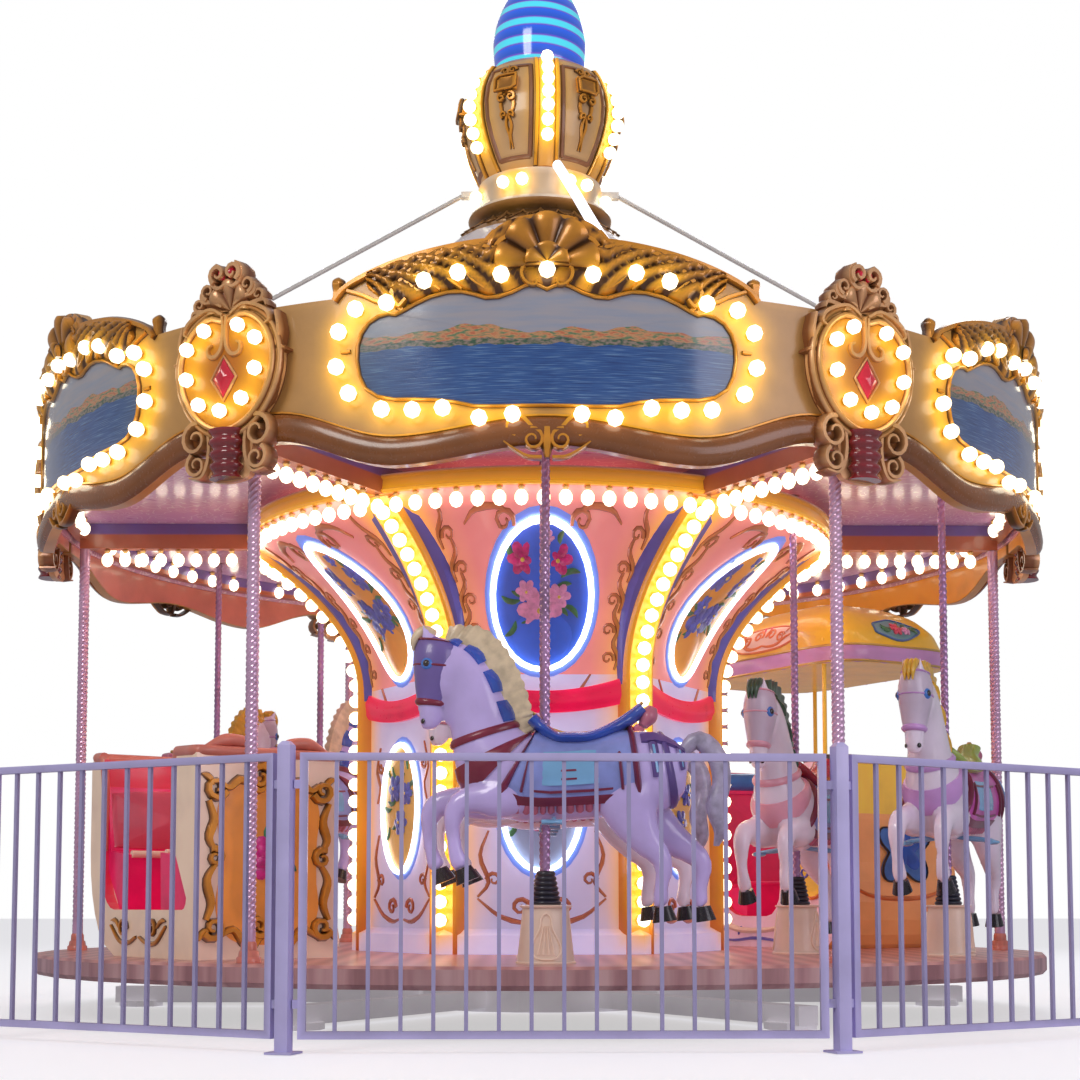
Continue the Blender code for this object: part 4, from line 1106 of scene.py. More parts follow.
@dataclass
class Cartouches:
    """Six shield ornaments over the joints between the boards."""

    back: float = 2.4905
    shield_middle: float = 2.634
    half_width: float = 0.225
    half_height: float = 0.235
    bulb_radius: float = 0.031
    bulb_spots: tuple = ((0.0, 2.462), (0.108, 2.499), (0.172, 2.610), (0.172, 2.733), (0.085, 2.797))

    def shield(self, grow: float = 0.0) -> Array:
        """Heart-shaped outline: wide above its middle, rounded below, with a dip at the top."""
        angle = circle(90)
        x = (self.half_width + grow) * np.sin(angle) * (1 + 0.10 * np.cos(angle))
        dip = 0.045 * np.exp(-(x / 0.06) ** 2) * (np.cos(angle) > 0)
        return joined(x, self.shield_middle + (self.half_height + grow) * np.cos(angle) - dip)

    def scrolls(self) -> list[Patch]:
        """Rim cusps, lyre scrolls, side volutes and crest leaves in local design space."""
        half = [vine([(0.010, 2.852), (0.006, 2.785), (0.014, 2.722), (0.045, 2.690), (0.078, 2.700),
                       (0.082, 2.730), (0.062, 2.742)], 34, [0.009, 0.015, 0.007], 0.03, 0.055),
                 vine([(0.02, 2.863), (0.08, 2.894), (0.15, 2.878), (0.20, 2.847), (0.215, 2.811),
                       (0.19, 2.795)], 30, [0.010, 0.014, 0.006], 0.045, 0.03),
                vine([(0.235, 2.847), (0.25, 2.774), (0.242, 2.712), (0.275, 2.696)], 24,
                     [0.010, 0.015, 0.004], 0.04, 0.02),
                vine([(0.275, 2.691), (0.245, 2.680), (0.235, 2.597), (0.20, 2.503), (0.14, 2.436)],
                      28, [0.004, 0.015, 0.010], 0.04, 0.02),
                curl((0.155, 2.373), 0.07, 100, -1.25, 36, [0.018, 0.008], 0.05, 0.02),
                curl((0.150, 2.269), 0.052, 60, -1.3, 36, [0.016, 0.007], 0.045, 0.02),
                vine([(0.095, 2.389), (0.09, 2.326), (0.10, 2.264), (0.13, 2.217), (0.19, 2.222)],
                     24, [0.012, 0.016, 0.006], 0.045, 0.015)]
        half += [curl((0.036, 3.028), 0.040, -60, 1.15, 30, [0.017, 0.015, 0.006], 0.045, 0.045),
                  vine([(0.004, 2.985), (0.035, 2.972), (0.062, 2.985), (0.078, 3.02), (0.07, 3.055),
                         (0.045, 3.072)], 24, [0.008, 0.019, 0.007], 0.05, 0.03),
                 curl((0.098, 2.972), 0.034, -80, 1.1, 26, [0.015, 0.006], 0.04, 0.03),
                 vine([(0.03, 2.90), (0.075, 2.925), (0.125, 2.935), (0.135, 2.965), (0.115, 2.99)],
                       24, [0.008, 0.019, 0.006], 0.045, 0.02),
                 curl((0.148, 2.925), 0.028, -60, 1.1, 24, [0.013, 0.005], 0.035, 0.025),
                 vine([(0.06, 2.885), (0.12, 2.895), (0.175, 2.90), (0.19, 2.875)], 22,
                      [0.008, 0.016, 0.006], 0.04, 0.02)]
        return mirrored(half)

    def drum(self) -> Patch:
        """Ribbed half drum under the shield: its radius waves four times over its height."""
        share = np.linspace(0, 1, 30)[:, None]
        swell = 0.066 + 0.007 * np.cos(8 * np.pi * share) + 0.010 * share
        turn = circle(24)
        return grid(joined(swell * np.cos(turn), 0.048 + 0.8 * swell * np.sin(turn), 2.196 + 0.195 * share),
                     slot=3)

    def build(self) -> None:
        """Make the six cartouches."""
        half = np.array([(x, 0.062, z) for x, z in self.bulb_spots])
        spots = np.concatenate([half, half[1:] * [-1, 1, 1]])
        gem = sampled([(0, 2.689), (0.062, 2.599), (0, 2.510), (-0.062, 2.599)], 6)
        turn = circle(20)
        stones = [plate(joined(0.016 * np.cos(turn) + side, 3.029 + 0.024 * np.sin(turn)), 0.03, 0.07, 0.012,
                         slot=2) for side in (-0.022, 0.022)]
        side = [(0.09, 2.2), (0.11, 2.3), (0.13, 2.431), (0.16, 2.826), (0.17, 2.910), (0.10, 3.003)]
        neck = [*[(-x, z) for x, z in side], (0.0, 3.045), *side[::-1]]
        body = [plate(loop_spline(neck, 60), 0.0, 0.03, 0.0, 4),
                plate(self.shield(0.030), 0.002, 0.045, 0.0, 4),
                plate(self.shield(), 0.02, 0.058, 0.012, 8, 1, edge=0.006),
                ridge(self.shield(0.006), 0.013, 0.018, 0.058, 8, 0, ring=True),
                ridge(self.shield(0.032), 0.012, 0.018, 0.042, 8, 0, ring=True),
                fan((0.0, 2.885), 0.105, 0.125, 7, 0.05, 0.03), plate(gem, 0.03, 0.068, 0.03, 5, 2),
                ridge(gem, 0.007, 0.012, 0.068, 8, 0, ring=True), self.drum(), *stones, *self.scrolls()]
        for number, bearing in enumerate(JOINT_BEARINGS, 1):
            place = Around(bearing, self.back)
            piece(f"cartouche_ornament_{number}", moved(body, place),
                  [Finish.ORNAMENT, Finish.SHIELD, Finish.RUBY, Finish.DRUM_RED],
                  replaces=[f"cartouche_{number}"], lamps=place(spots + [0, 0.035, 0]), reach=0.075)
            piece(f"cartouche_bulbs_{number}", bulbs(spots, place, self.bulb_radius, 0.036), LIT)


@dataclass(frozen=True)
class OnHousing:
    """Puts a design on one side of the centre housing: x across the side, y off it, z up."""

    bearing: float
    radius: float = 0.91
    split: float = 1.60
    top: float = 2.35
    swell: float = 0.57

    def climbed(self, z: Array) -> Array:
        """Share of the flare's height that lies below a height."""
        return np.clip((z - self.split) / (self.top - self.split), 0, 1.05)

    def reach(self, z: Array) -> Array:
        """Corner radius at a height: straight up to the split, then growing with the square of the climb."""
        return self.radius + self.swell * self.climbed(z) ** 2

    def slope(self, z: Array) -> tuple[Array, Array]:
        """How fast the corner radius grows with the height, and the length of that slope's unit."""
        slope = 2 * self.swell * self.climbed(z) / (self.top - self.split)
        return slope, np.sqrt(1 + slope ** 2)

    def __call__(self, local: Array) -> Array:
        """Find the wall at the height and side distance, then step off it square to its slope."""
        x, y, z = local[..., 0], local[..., 1], local[..., 2]
        corner, (slope, size) = self.reach(z), self.slope(z)
        angle = np.arctan2(x, corner * math.cos(math.pi / 6))
        flat = math.cos(math.pi / 6) / np.cos(angle)
        wall = corner * (flat + (1 - flat) * self.climbed(z) ** 2)
        return polar(wall + y / size, math.radians(self.bearing) + angle, z - y * slope / size)


@dataclass(frozen=True)
class OnCorner:
    """Puts a design on a corner rib of the housing: x across, y outwards, z up."""

    bearing: float

    def __call__(self, local: Array) -> Array:
        """Step off the corner line square to its slope."""
        x, y, z = local[..., 0], local[..., 1], local[..., 2]
        wall = OnHousing(self.bearing)
        slope, size = wall.slope(z)
        return Around(self.bearing, 0.0)(joined(x, wall.reach(z) + y / size, z - y * slope / size))


def rose(centre: Sequence[float], radius: float, slot: int, heart: int, stand: float = 0.0) -> list[Patch]:
    """Painted-relief rose: rings of crowned petals that shrink inwards, and a heart.

    Args:
        centre: Middle, x and z.
        radius: Outer radius.
        slot: Finish of the petals.
        heart: Finish of the heart.
        stand: Distance from the surface.

    Returns:
        Its surfaces in local design space.
    """
    made = []
    turn = circle(9)
    petal = joined(0.46 * np.cos(turn), 0.36 * np.sin(turn))
    for ring, (count, reach, size) in enumerate(((6, 0.66, 0.98), (5, 0.42, 0.78), (3, 0.20, 0.54))):
        for number in range(count):
            angle = math.tau * (number / count + 0.17 * ring)
            run = np.array([math.cos(angle), math.sin(angle)])
            outline = centre + radius * (reach * run + size * petal @ np.array([run, [-run[1], run[0]]]))
            rise = stand + 0.0035 * ring + 0.0008 * (number % 3)
            made.append(plate(outline, rise - 0.004, rise + 0.001, 0.004, 2, slot))
    heart_line = centre + 0.14 * radius * joined(np.cos(turn), np.sin(turn))
    return [*made, plate(heart_line, stand, stand + 0.013, 0.004, 2, heart)]


def vine(points: Sequence[Sequence[float]], count: int, width: float | Sequence[float],
         height: float | Sequence[float], rise: float = 0.0, slot: int = 0) -> Patch:
    """Relief bead along a smooth curve through points of a flat design.

    Args:
        points: The points it passes through.
        count: Number of samples of the curve.
        width: Half width, or values along the curve.
        height: How far it stands out, or values along the curve.
        rise: Distance of its middle from the surface.
        slot: Index of the finish.

    Returns:
        The surface in local x, y, z.
    """
    return ridge(spline(points, count), width, height, rise, slot=slot)


def curl(centre: Sequence[float], radius: float, start: float, turns: float, count: int,
         width: Sequence[float], height: float | Sequence[float], rise: float = 0.0, slot: int = 0) -> Patch:
    """Relief scroll: a bead along a spiral that narrows towards its middle.

    Args:
        centre: Middle of the scroll, x and z.
        radius: Radius at its start.
        start: Start angle in degrees from +x towards +z.
        turns: Number of turns, negative for clockwise.
        count: Number of samples of the spiral.
        width: Half width along the spiral.
        height: How far it stands out, or values along the spiral.
        rise: Distance of its middle from the surface.
        slot: Index of the finish.

    Returns:
        The surface in local x, y, z.
    """
    return ridge(spiral(centre, radius, start, turns, count), width, height, rise, slot=slot)


def leaf(root: Sequence[float], angle: float, length: float, width: float, slot: int, stand: float = 0.0,
         height: float = 0.005) -> Patch:
    """Pointed leaf with a crowned blade: its half width is the sine of the share along it."""
    along = np.linspace(0, 1, 9)
    turn = math.radians(angle)
    bend = 0.18 * length * np.sin(np.pi * along)
    run = np.array([math.cos(turn), math.sin(turn)])
    side = np.array([-run[1], run[0]])
    path = np.asarray(root, float) + np.outer(along * length, run) + np.outer(bend, side)
    return ridge(path, width * np.sin(np.pi * (0.04 + 0.92 * along)) ** 0.8, height, stand, 6, slot)


@dataclass
class Housing:
    """Centre housing with its flare: panels, neon ovals, roses, ribs of bulbs, swags and scrolls."""

    plinth_top: float = 0.37
    foot: float = 0.2815
    rib_half: float = 0.052
    bevel: float = 0.030
    bulb_radius: float = 0.034
    bulb_pitch: float = 0.086

    def shell(self) -> list[Patch]:
        """Smooth wall of the six sides, from the deck to the rim of the flare."""
        climb = np.array([self.foot, self.plinth_top, self.plinth_top + 0.03, *np.linspace(0.5, 1.6, 6),
                          *np.linspace(1.65, 2.3497, 22)])[:, None]
        step = 0.05 * (climb <= self.plinth_top)
        across = np.linspace(-1, 1, 13)[:-1]
        places = [OnHousing(bearing) for bearing in BAY_BEARINGS]
        sides = [place(joined(place.reach(climb) / 2 * across, step, climb)) for place in places]
        wall = np.concatenate(sides, 1)
        return [grid(wall[:9], slot=1), grid(wall[8:])]

    def rib(self, bearing: float) -> tuple[list[Patch], Array]:
        """Yellow bulb channel between two bevelled strips, with a blue wedge beside each.

        Args:
            bearing: Bearing of the corner.

        Returns:
            Its surfaces in world space, and its bulbs' sockets in local space.
        """
        place = OnCorner(bearing)
        climb = np.array([*np.linspace(self.foot, 1.6, 12), *np.linspace(1.64, 2.345, 30)])
        half, wide = self.rib_half, self.bevel
        channel = [(-half, -0.06), (-half, 0.010), (-half * 0.8, 0.006), (half * 0.8, 0.006), (half, 0.010),
                   (half, -0.06)]
        made = [self.bar(channel, climb, 0)]
        for side in (-1, 1):
            edge = [(half, -0.07), (half, 0.014), (half + 0.3 * wide, 0.026), (half + 0.7 * wide, 0.018),
                    (half + wide, -0.012), (half + wide, -0.08)]
            made += [self.bar([(side * x, y) for x, y in edge], climb, 1), self.wedge(side)]
        steps = np.arange(self.plinth_top + 0.05, 2.33, 0.002)
        line = place(joined(0, 0, steps))
        run = np.concatenate([[0], np.cumsum(np.linalg.norm(np.diff(line, axis=0), axis=1))])
        marks = np.interp(np.arange(0.02, run[-1], self.bulb_pitch), run, steps)
        return moved(made, place), joined(0, 0.006, marks)

    def bar(self, profile: Sequence[Sequence[float]], climb: Array, slot: int) -> Patch:
        """A (x, y) profile carried up the rib."""
        section = np.array(profile)
        return grid(joined(section[:, 0], section[:, 1], climb[:, None]), slot=slot)

    def wedge(self, side: int) -> Patch:
        """Blue wedge that widens from nothing at mid height to its full width at the rim."""
        climb = np.linspace(1.55, 2.34, 24)[:, None]
        near = self.rib_half + self.bevel
        wide = 0.105 * np.clip((climb - 1.55) / 0.79, 0, 1) ** 1.4 + 0.001
        x = near + np.array([0, 0.5, 1, 1, 0]) * wide - np.array([0.004, 0, 0, 0, 0.004])
        y = np.array([-0.004, -0.012, -0.035, -0.12, -0.12]) - np.array([0, 0, 0.1, 0, 0]) * wide
        return grid(joined(side * x, y, climb), slot=2)

    def oval(self, height: float, half_width: float, half_height: float) -> Array:
        """Outline of an oval panel."""
        turn = circle(60)
        return joined(half_width * np.sin(turn), height + half_height * np.cos(turn))

    def panel(self, bearing: float, upper: bool) -> tuple[list[Patch], list[Patch]]:
        """Oval painting with its neon ring, roses and leaves.

        Args:
            bearing: Bearing of the side.
            upper: Whether it is the tall oval on the flare.

        Returns:
            The painting's surfaces and the neon ring's surfaces, in world space.
        """
        place = OnHousing(bearing)
        if upper:
            middle, wide, tall, leaves = 1.935, 0.222 if bearing in (0.0, 180.0) else 0.190, 0.312, 14
            spots = ((-0.085, 0.17, 0.062, 2), (0.065, 0.165, 0.060, 2), (-0.01, -0.04, 0.095, 3),
                     (0.075, 0.02, 0.05, 3), (-0.07, 0.04, 0.045, 3))
        else:
            middle, wide, tall, leaves = 0.985, 0.185, 0.315, 10
            spots = ((-0.06, 0.10, 0.065, 2), (0.065, 0.07, 0.055, 3), (0.0, -0.07, 0.06, 3))
        made = [plate(self.oval(middle, wide - 0.004, tall - 0.004), 0.0, 0.006, 0.0, 6, 0),
                ridge(self.oval(middle, wide + 0.02, tall + 0.02), 0.020, 0.005, 0.001, 6, 1, ring=True)]
        for x, z, size, slot in spots:
            made += rose((x, middle + z), size, slot, 4, 0.010)
        for number in range(leaves):
            angle = 25.7 * number + 8
            reach, turn = 0.055 + 0.045 * (number % 3), math.radians(angle)
            root = (reach * math.cos(turn), middle + 0.02 + 1.35 * reach * math.sin(turn))
            made.append(leaf(root, angle + 20 * (-1) ** number, 0.085, 0.013, 5, 0.009, 0.003))
        if upper:
            made += rose((0.02, middle + 0.78 * tall), 0.028, 3, 4, 0.010)
        neon = ridge(self.oval(middle, wide, tall), 0.0135, 0.0135, 0.014, 8, 0, ring=True)
        return moved(made, place), moved([neon], place)

    def scrolls(self, bearing: float) -> list[Patch]:
        """Relief scrolls along the edges of a side, above the floor and round the ovals."""
        place = OnHousing(bearing)
        half = []
        for step in range(5):
            z = 1.62 + 0.13 * step
            edge = float(place.reach(np.array(z))) / 2 - 0.115 - 0.012 * step
            wave = [(edge, z), (edge + 0.02, z + 0.06), (edge - 0.005, z + 0.12), (edge + 0.012, z + 0.17)]
            half += [vine(wave, 16, [0.006, 0.013, 0.007], [0.006, 0.012, 0.006]),
                     curl((edge - 0.03, z + 0.055), 0.032, -20, 1.1, 20, [0.010, 0.004], [0.010, 0.005])]
        half += [curl((0.16, 2.235), 0.045, 200, -1.2, 24, [0.012, 0.005], 0.010),
                 vine([(0.12, 2.25), (0.19, 2.285), (0.28, 2.275), (0.33, 2.23)], 18,
                      [0.006, 0.014, 0.005], 0.010),
                 curl((0.10, 1.50), 0.036, 160, 1.1, 22, [0.010, 0.004], 0.009),
                 vine([(0.03, 1.43), (0.09, 1.46), (0.16, 1.50), (0.23, 1.60)], 18,
                      [0.005, 0.012, 0.005], 0.009),
                 vine([(0.30, 0.55), (0.25, 0.62), (0.29, 0.74), (0.25, 0.86)], 20,
                      [0.006, 0.012, 0.005], 0.009),
                 curl((0.225, 0.63), 0.035, 0, 1.1, 22, [0.011, 0.004], 0.009),
                 curl((0.10, 0.50), 0.045, 180, -1.2, 24, [0.013, 0.005], 0.010),
                 vine([(0.03, 0.44), (0.10, 0.43), (0.20, 0.46), (0.30, 0.54)], 18,
                      [0.006, 0.013, 0.005], 0.010),
                 curl((0.24, 1.20), 0.032, 180, 1.1, 22, [0.010, 0.004], 0.009),
                 vine([(0.27, 1.02), (0.24, 1.10), (0.28, 1.18), (0.24, 1.30)], 18,
                      [0.005, 0.011, 0.005], 0.009)]
        return moved(mirrored(half), place)

    def swag(self, bearing: float) -> Patch:
        """Hanging crimson band between two ribs, with soft folds and a level top."""
        across, rows = np.linspace(-1, 1, 40)[:, None], np.linspace(0, 1, 7)
        sag = 1.415 + 0.045 * across ** 2
        head = sag + 0.105 + 0.02 * across ** 2
        z = sag + (head - sag) * rows
        fold = 0.003 * np.cos(4 * np.pi * rows + 2 * across)
        front = 0.016 + fold + 0.014 * np.sin(np.pi * rows)
        wide = across * (0.455 - 0.075)
        points = np.concatenate([joined(wide, front, z), joined(wide, 0, z)[:, ::-1]], 1)
        return grid(points).mapped(OnHousing(bearing))

    def build(self) -> None:
        """Make the housing."""
        lamps, glass, ribs = [], [], []
        for bearing in JOINT_BEARINGS:
            made, sockets = self.rib(bearing)
            ribs += made
            glass += bulbs(sockets, OnCorner(bearing), self.bulb_radius, 0.036)
            lamps.append(OnCorner(bearing)(sockets + [0, 0.036, 0]))
        lamps = np.concatenate(lamps)
        piece("housing_shell", self.shell(), [Finish.PANEL, Finish.LOWER_PANEL],
              replaces=["column_lower", "column_flare"], lamps=lamps, reach=0.13, sharp=25)
        piece("housing_ribs", ribs, [Finish.CHANNEL, Finish.RIB, Finish.PERIWINKLE],
              lamps=lamps, reach=0.09, sharp=30)
        piece("housing_bulbs", glass, LIT)
        scrolls = [p for bearing in BAY_BEARINGS for p in self.scrolls(bearing)]
        swags = [self.swag(bearing) for bearing in BAY_BEARINGS]
        piece("housing_scrolls", scrolls, [Finish.SCROLL], lamps=lamps, reach=0.11)
        piece("housing_swags", swags, [Finish.CRIMSON])
        for number, bearing in enumerate(BAY_BEARINGS, 1):
            flowers = (Finish.ROSE_MAGENTA, Finish.ROSE_PINK)
            fields = {"upper": Finish.OVAL_ROSE, "lower": Finish.OVAL_YELLOW}
            if number in (3, 6):
                fields = {"upper": Finish.OVAL_BLUE, "lower": Finish.OVAL_SKY}
            elif number % 2 == 0:
                flowers, fields["upper"] = (Finish.ROSE_BLUE, Finish.ROSE_BLUE), Finish.OVAL_AMBER
            for word, field in fields.items():
                painting, neon = self.panel(bearing, word == "upper")
                piece(f"oval_{word}_{number}", painting,
                      [field, Finish.HALO, *flowers, Finish.HEART, Finish.LEAF])
                piece(f"neon_{word}_{number}", neon, [Finish.NEON])


def turned(profile: Sequence[Sequence[float]], count: int, slot: int = 0, ring: bool = False) -> Patch:
    """A (radius, height) line turned round the axis.

    Args:
        profile: The line's points.
        count: Columns round.
        slot: Index of the finish.
        ring: Whether the line is a closed outline, and not closed by flat ends.

    Returns:
        The surface in world metres.
    """
    line = np.array(profile)
    points = polar(line[:, :1], circle(count), line[:, 1:])
    if ring:
        points = np.concatenate([points, points[:1]])
    return grid(points, caps=not ring, slot=slot)


@dataclass
class Canopy:
    """Ceiling side of the ride: rim band, hanging bulbs, beam bulbs and the ceiling's paint."""

    rim_radius: float = 1.485
    rim_low: float = 2.35
    rim_high: float = 2.43
    bulb_radius: float = 0.031
    drop: float = 0.055

    def hanging(self, spots: Array) -> list[Patch]:
        """Pear-shaped bulbs hanging from points."""
        down = np.broadcast_to([0.0, 0.0, -1.0], spots.shape)
        return [globes(spots + down * 0.008, down, self.bulb_radius * 0.55, 0, 2, 7, 1.2),
                globes(spots + down * self.drop, down, self.bulb_radius, 1, 5, 8, 1.18)]

    def build(self) -> None:
        """Make the band, the bulbs and the trims under the ceiling."""
        low, high, reach = self.rim_low, self.rim_high, self.rim_radius
        band = [(reach - 0.05, low + 0.001), (reach + 0.012, low + 0.001), (reach + 0.02, low + 0.012),
                (reach + 0.008, low + 0.02), (reach + 0.004, high - 0.02), (reach + 0.018, high - 0.012),
                (reach + 0.018, high), (reach - 0.05, high)]
        rim = polar(reach - 0.012, circle(round(math.tau * (reach - 0.01) / 0.098)), low)
        joints = np.radians(JOINT_BEARINGS)[:, None]
        beams = polar(np.arange(1.60, 2.30, 0.092), joints, low).reshape(-1, 3)
        spots = np.concatenate([rim, beams])
        piece("rim_band", [turned(band, 120, ring=True)], [Finish.BEAM],
              lamps=spots - [0, 0, self.drop], reach=0.10)
        piece("hanging_bulbs", self.hanging(spots), LIT)
        piece("ceiling_bulbs", self.hanging(polar(2.33, circle(84), 2.478)), LIT)
        lip = [(2.425, 2.385), (2.437, 2.385), (2.437, 2.478), (2.412, 2.478)]
        piece("ceiling_lip", [turned(lip, 120, ring=True)], [Finish.CEILING])
        dress("sweep_frame", Finish.BEAM)
        dress("ceiling_disc", Finish.CEILING)


@dataclass
class Crown:
    """Neck, onion-shaped crown with bulb ribs, light dome, light strings and the tube lamp."""

    neck_top: float = 4.28
    top: float = 4.87
    neck_bulbs: float = 4.205
    bulb_radius: float = 0.034
    tube_radius: float = 0.026
    rib_bearings: tuple = (4.9, 64.9, 124.9, 184.9, 244.9, 304.9)
    cornice: tuple = ((0.20, 4.825), (0.318, 4.828), (0.328, 4.84), (0.312, 4.852), (0.300, 4.86),
                      (0.262, 4.8695))
    neck_line: tuple = ((0.45, 3.942), (0.44, 3.965), (0.385, 4.00), (0.345, 4.03), (0.325, 4.055),
                        (0.335, 4.07), (0.372, 4.082), (0.378, 4.095), (0.370, 4.112), (0.340, 4.122),
                        (0.318, 4.14), (0.312, 4.17), (0.312, 4.24), (0.325, 4.255), (0.325, 4.272),
                        (0.30, 4.2797))
    dome: tuple = ((0.225, 4.8705), (0.238, 4.92), (0.2475, 5.03), (0.245, 5.10), (0.225, 5.19),
                   (0.190, 5.275), (0.145, 5.355), (0.098, 5.43), (0.060, 5.50), (0.034, 5.56),
                   (0.014, 5.60), (0.003, 5.62))
    tube: tuple = ((0.085, -0.36, 4.265), (0.165, -0.63, 4.01), (0.25, -0.92, 3.73), (0.33, -1.18, 3.49))

    def profile(self, z: Array) -> Array:
        """Radius of the crown body at a height."""
        shares = [0.0, 0.12, 0.28, 0.44, 0.60, 0.74, 0.86, 0.94, 1.0]
        radii = [0.290, 0.330, 0.370, 0.397, 0.403, 0.391, 0.363, 0.335, 0.288]
        return np.interp((z - self.neck_top) / (self.top - self.neck_top), shares, radii)

    def place(self, bearing: float) -> Callable[[Array], Array]:
        """Placement of a design on the body at a bearing."""
        def on_body(local: Array) -> Array:
            """Turn the side distance into an angle round the body."""
            reach = self.profile(local[..., 2])
            return polar(reach + local[..., 1], math.radians(bearing) + local[..., 0] / reach, local[..., 2])
        return on_body

    def drop_ornament(self) -> list[Patch]:
        """Square boss under a bow, with a scroll drop that ends in a thin stem, in local design space."""
        square = sampled([(-0.052, 4.648), (0.052, 4.648), (0.052, 4.728), (-0.052, 4.728)], 5)
        stem = np.array([(0.0, 4.735), (0.0, 4.765), (0.0, 4.80)])
        half = [curl((0.020, 4.768), 0.022, 0, 1.1, 20, [0.010, 0.004], 0.016, 0.006),
                curl((0.024, 4.612), 0.024, 110, -1.2, 22, [0.011, 0.005], 0.016, 0.014),
                vine([(0.0, 4.645), (0.034, 4.60), (0.030, 4.55), (0.004, 4.53)], 18,
                     [0.007, 0.013, 0.005], 0.016),
                curl((0.018, 4.528), 0.018, -60, 1.1, 18, [0.009, 0.004], 0.014, 0.010),
                vine([(0.004, 4.53), (0.014, 4.48), (0.003, 4.43), (0.008, 4.37)], 18,
                     [0.009, 0.011, 0.003], 0.013)]
        return [plate(square, 0.0, 0.034, -0.008, 4), ridge(square, 0.009, 0.014, 0.034, 6, ring=True),
                ridge(stem, [0.010, 0.008, 0.003], 0.02, 0.004), *mirrored(half)]

    def border(self, bearing: float) -> list[Patch]:
        """Rounded brown edge inside a panel of the body: up one rib and down the next, joined at the top."""
        z = np.linspace(self.neck_top + 0.05, self.top - 0.075, 24)
        wide = self.profile(z) * math.radians(30) - 0.082
        made = [ridge(joined(side * wide, z), 0.013, 0.012, slot=1) for side in (-1, 1)]
        made += [ridge(joined(np.linspace(-wide[end], wide[end], 12), z[end]), 0.011, 0.012, slot=1)
                 for end in (0, -1)]
        return moved(made, self.place(bearing))

    def skirt(self) -> list[Patch]:
        """Carved bronze swags round the neck's skirt: a scroll pair and a drop in each of twelve fields."""
        def on_skirt(bearing: float) -> Callable[[Array], Array]:
            """Placement on the sloping skirt at a bearing."""
            def place(local: Array) -> Array:
                """Turn the side distance into an angle, and step out from the cone."""
                heights, radii = zip(*[(z, r) for r, z in self.neck_line[:5]])
                reach = np.interp(local[..., 2], heights, radii) + local[..., 1]
                return polar(reach, math.radians(bearing) + local[..., 0] / 0.38, local[..., 2])
            return place
        half = [curl((0.045, 3.990), 0.026, 90, -1.2, 20, [0.009, 0.004], 0.014, 0.004),
                vine([(0.0, 4.045), (0.03, 4.02), (0.075, 4.015), (0.10, 4.045)], 18, [0.006, 0.011, 0.005],
                      0.014)]
        drop = ridge(np.array([(0.0, 4.05), (0.0, 4.01), (0.0, 3.965)]), [0.008, 0.014, 0.004], 0.016, 0.002)
        local = [p.finish(1) for p in [*mirrored(half), drop]]
        return [p.mapped(on_skirt(30.0 * step)) for step in range(12) for p in local]

    def ribs(self) -> tuple[list[Patch], Array, Array]:
        """Gilt of the crown's body and the places of its bulbs.

        Returns:
            The surfaces, the bulbs' middles and their sockets.
        """
        gold, spots, foot = [], [], []
        z = np.linspace(self.neck_top + 0.006, self.top - 0.03, 26)
        marks = np.linspace(self.neck_top + 0.13, self.top - 0.045, 7)
        for bearing in self.rib_bearings:
            place = self.place(bearing)
            strips = [*[ridge(joined(side, z), 0.012, 0.02, 0.004, 6, 2) for side in (-0.052, 0.052)],
                      ridge(joined(0, z), 0.044, 0.012, 0.0, 8, 3)]
            gold += moved(strips, place)
            spots.append(place(joined(0, 0.045, marks)))
            foot.append(place(joined(0, 0.010, marks)))
            gold += [p.finish(2).mapped(self.place(bearing + 30)) for p in self.drop_ornament()]
            gold += self.border(bearing + 30)
            for swing in (21, 39):
                turn = np.radians([bearing + swing])
                spots.append(polar(0.345, turn, self.neck_bulbs))
                foot.append(polar(0.312, turn, self.neck_bulbs))
        return gold, np.concatenate(spots), np.concatenate(foot)

    def build(self) -> None:
        """Make the crown group."""
        climb = np.linspace(self.neck_top + 0.0005, self.top, 30)
        gold, spots, foot = self.ribs()
        cups = globes(foot + 0.3 * (spots - foot), spots - foot, self.bulb_radius * 0.6, 0, 2, 7)
        piece("crown_shell",
              [turned(joined(self.profile(climb), climb), 54), turned(self.cornice, 54, 2), *gold],
              [Finish.CROWN_PANEL, Finish.CROWN_EDGE, Finish.GOLD, Finish.CHANNEL],
               replaces=["crown_body"], lamps=spots, reach=0.09)
        piece("neck_shell",
              [turned(self.neck_line[7:], 54), turned(self.neck_line[:8], 54, 1), *self.skirt()],
              [Finish.NECK, Finish.SKIRT], replaces=["crown_neck"], lamps=spots,
              reach=0.09)
        piece("crown_bulbs", [cups, globes(spots, spots - foot, self.bulb_radius, 1)], LIT)
        piece("dome_glass", [turned(spline(self.dome, 60), 54)], [Finish.DOME],
              replaces=["light_dome"])
        piece("tube_lamp", [rope(self.tube, self.tube_radius, 24, 12)], [Finish.TUBE])
        for side, word in ((-1, "left"), (1, "right")):
            start, stop = np.array([0.42 * side, 0, 4.25]), np.array([2.42 * side, 0, 3.115])
            line = start + (stop - start) * np.linspace(0.01, 0.98, 34)[:, None]
            up = np.broadcast_to([0.0, 0.0, 1.0], line.shape)
            piece(f"string_bulbs_{word}", [globes(line + [0, 0, 0.016], up, 0.009, 0, 4, 6, 1.2)],
                  [Finish.SMALL_BULB])
            dress(f"light_string_{word}", Finish.STRING)

def dress(node: str, *finishes: Finish) -> None:
    """Give a CAD node its finishes in place of its plain colours."""
    slots = bpy.data.objects[node].material_slots
    for slot, finish in zip(slots, finishes):
        slot.material = finish.material()


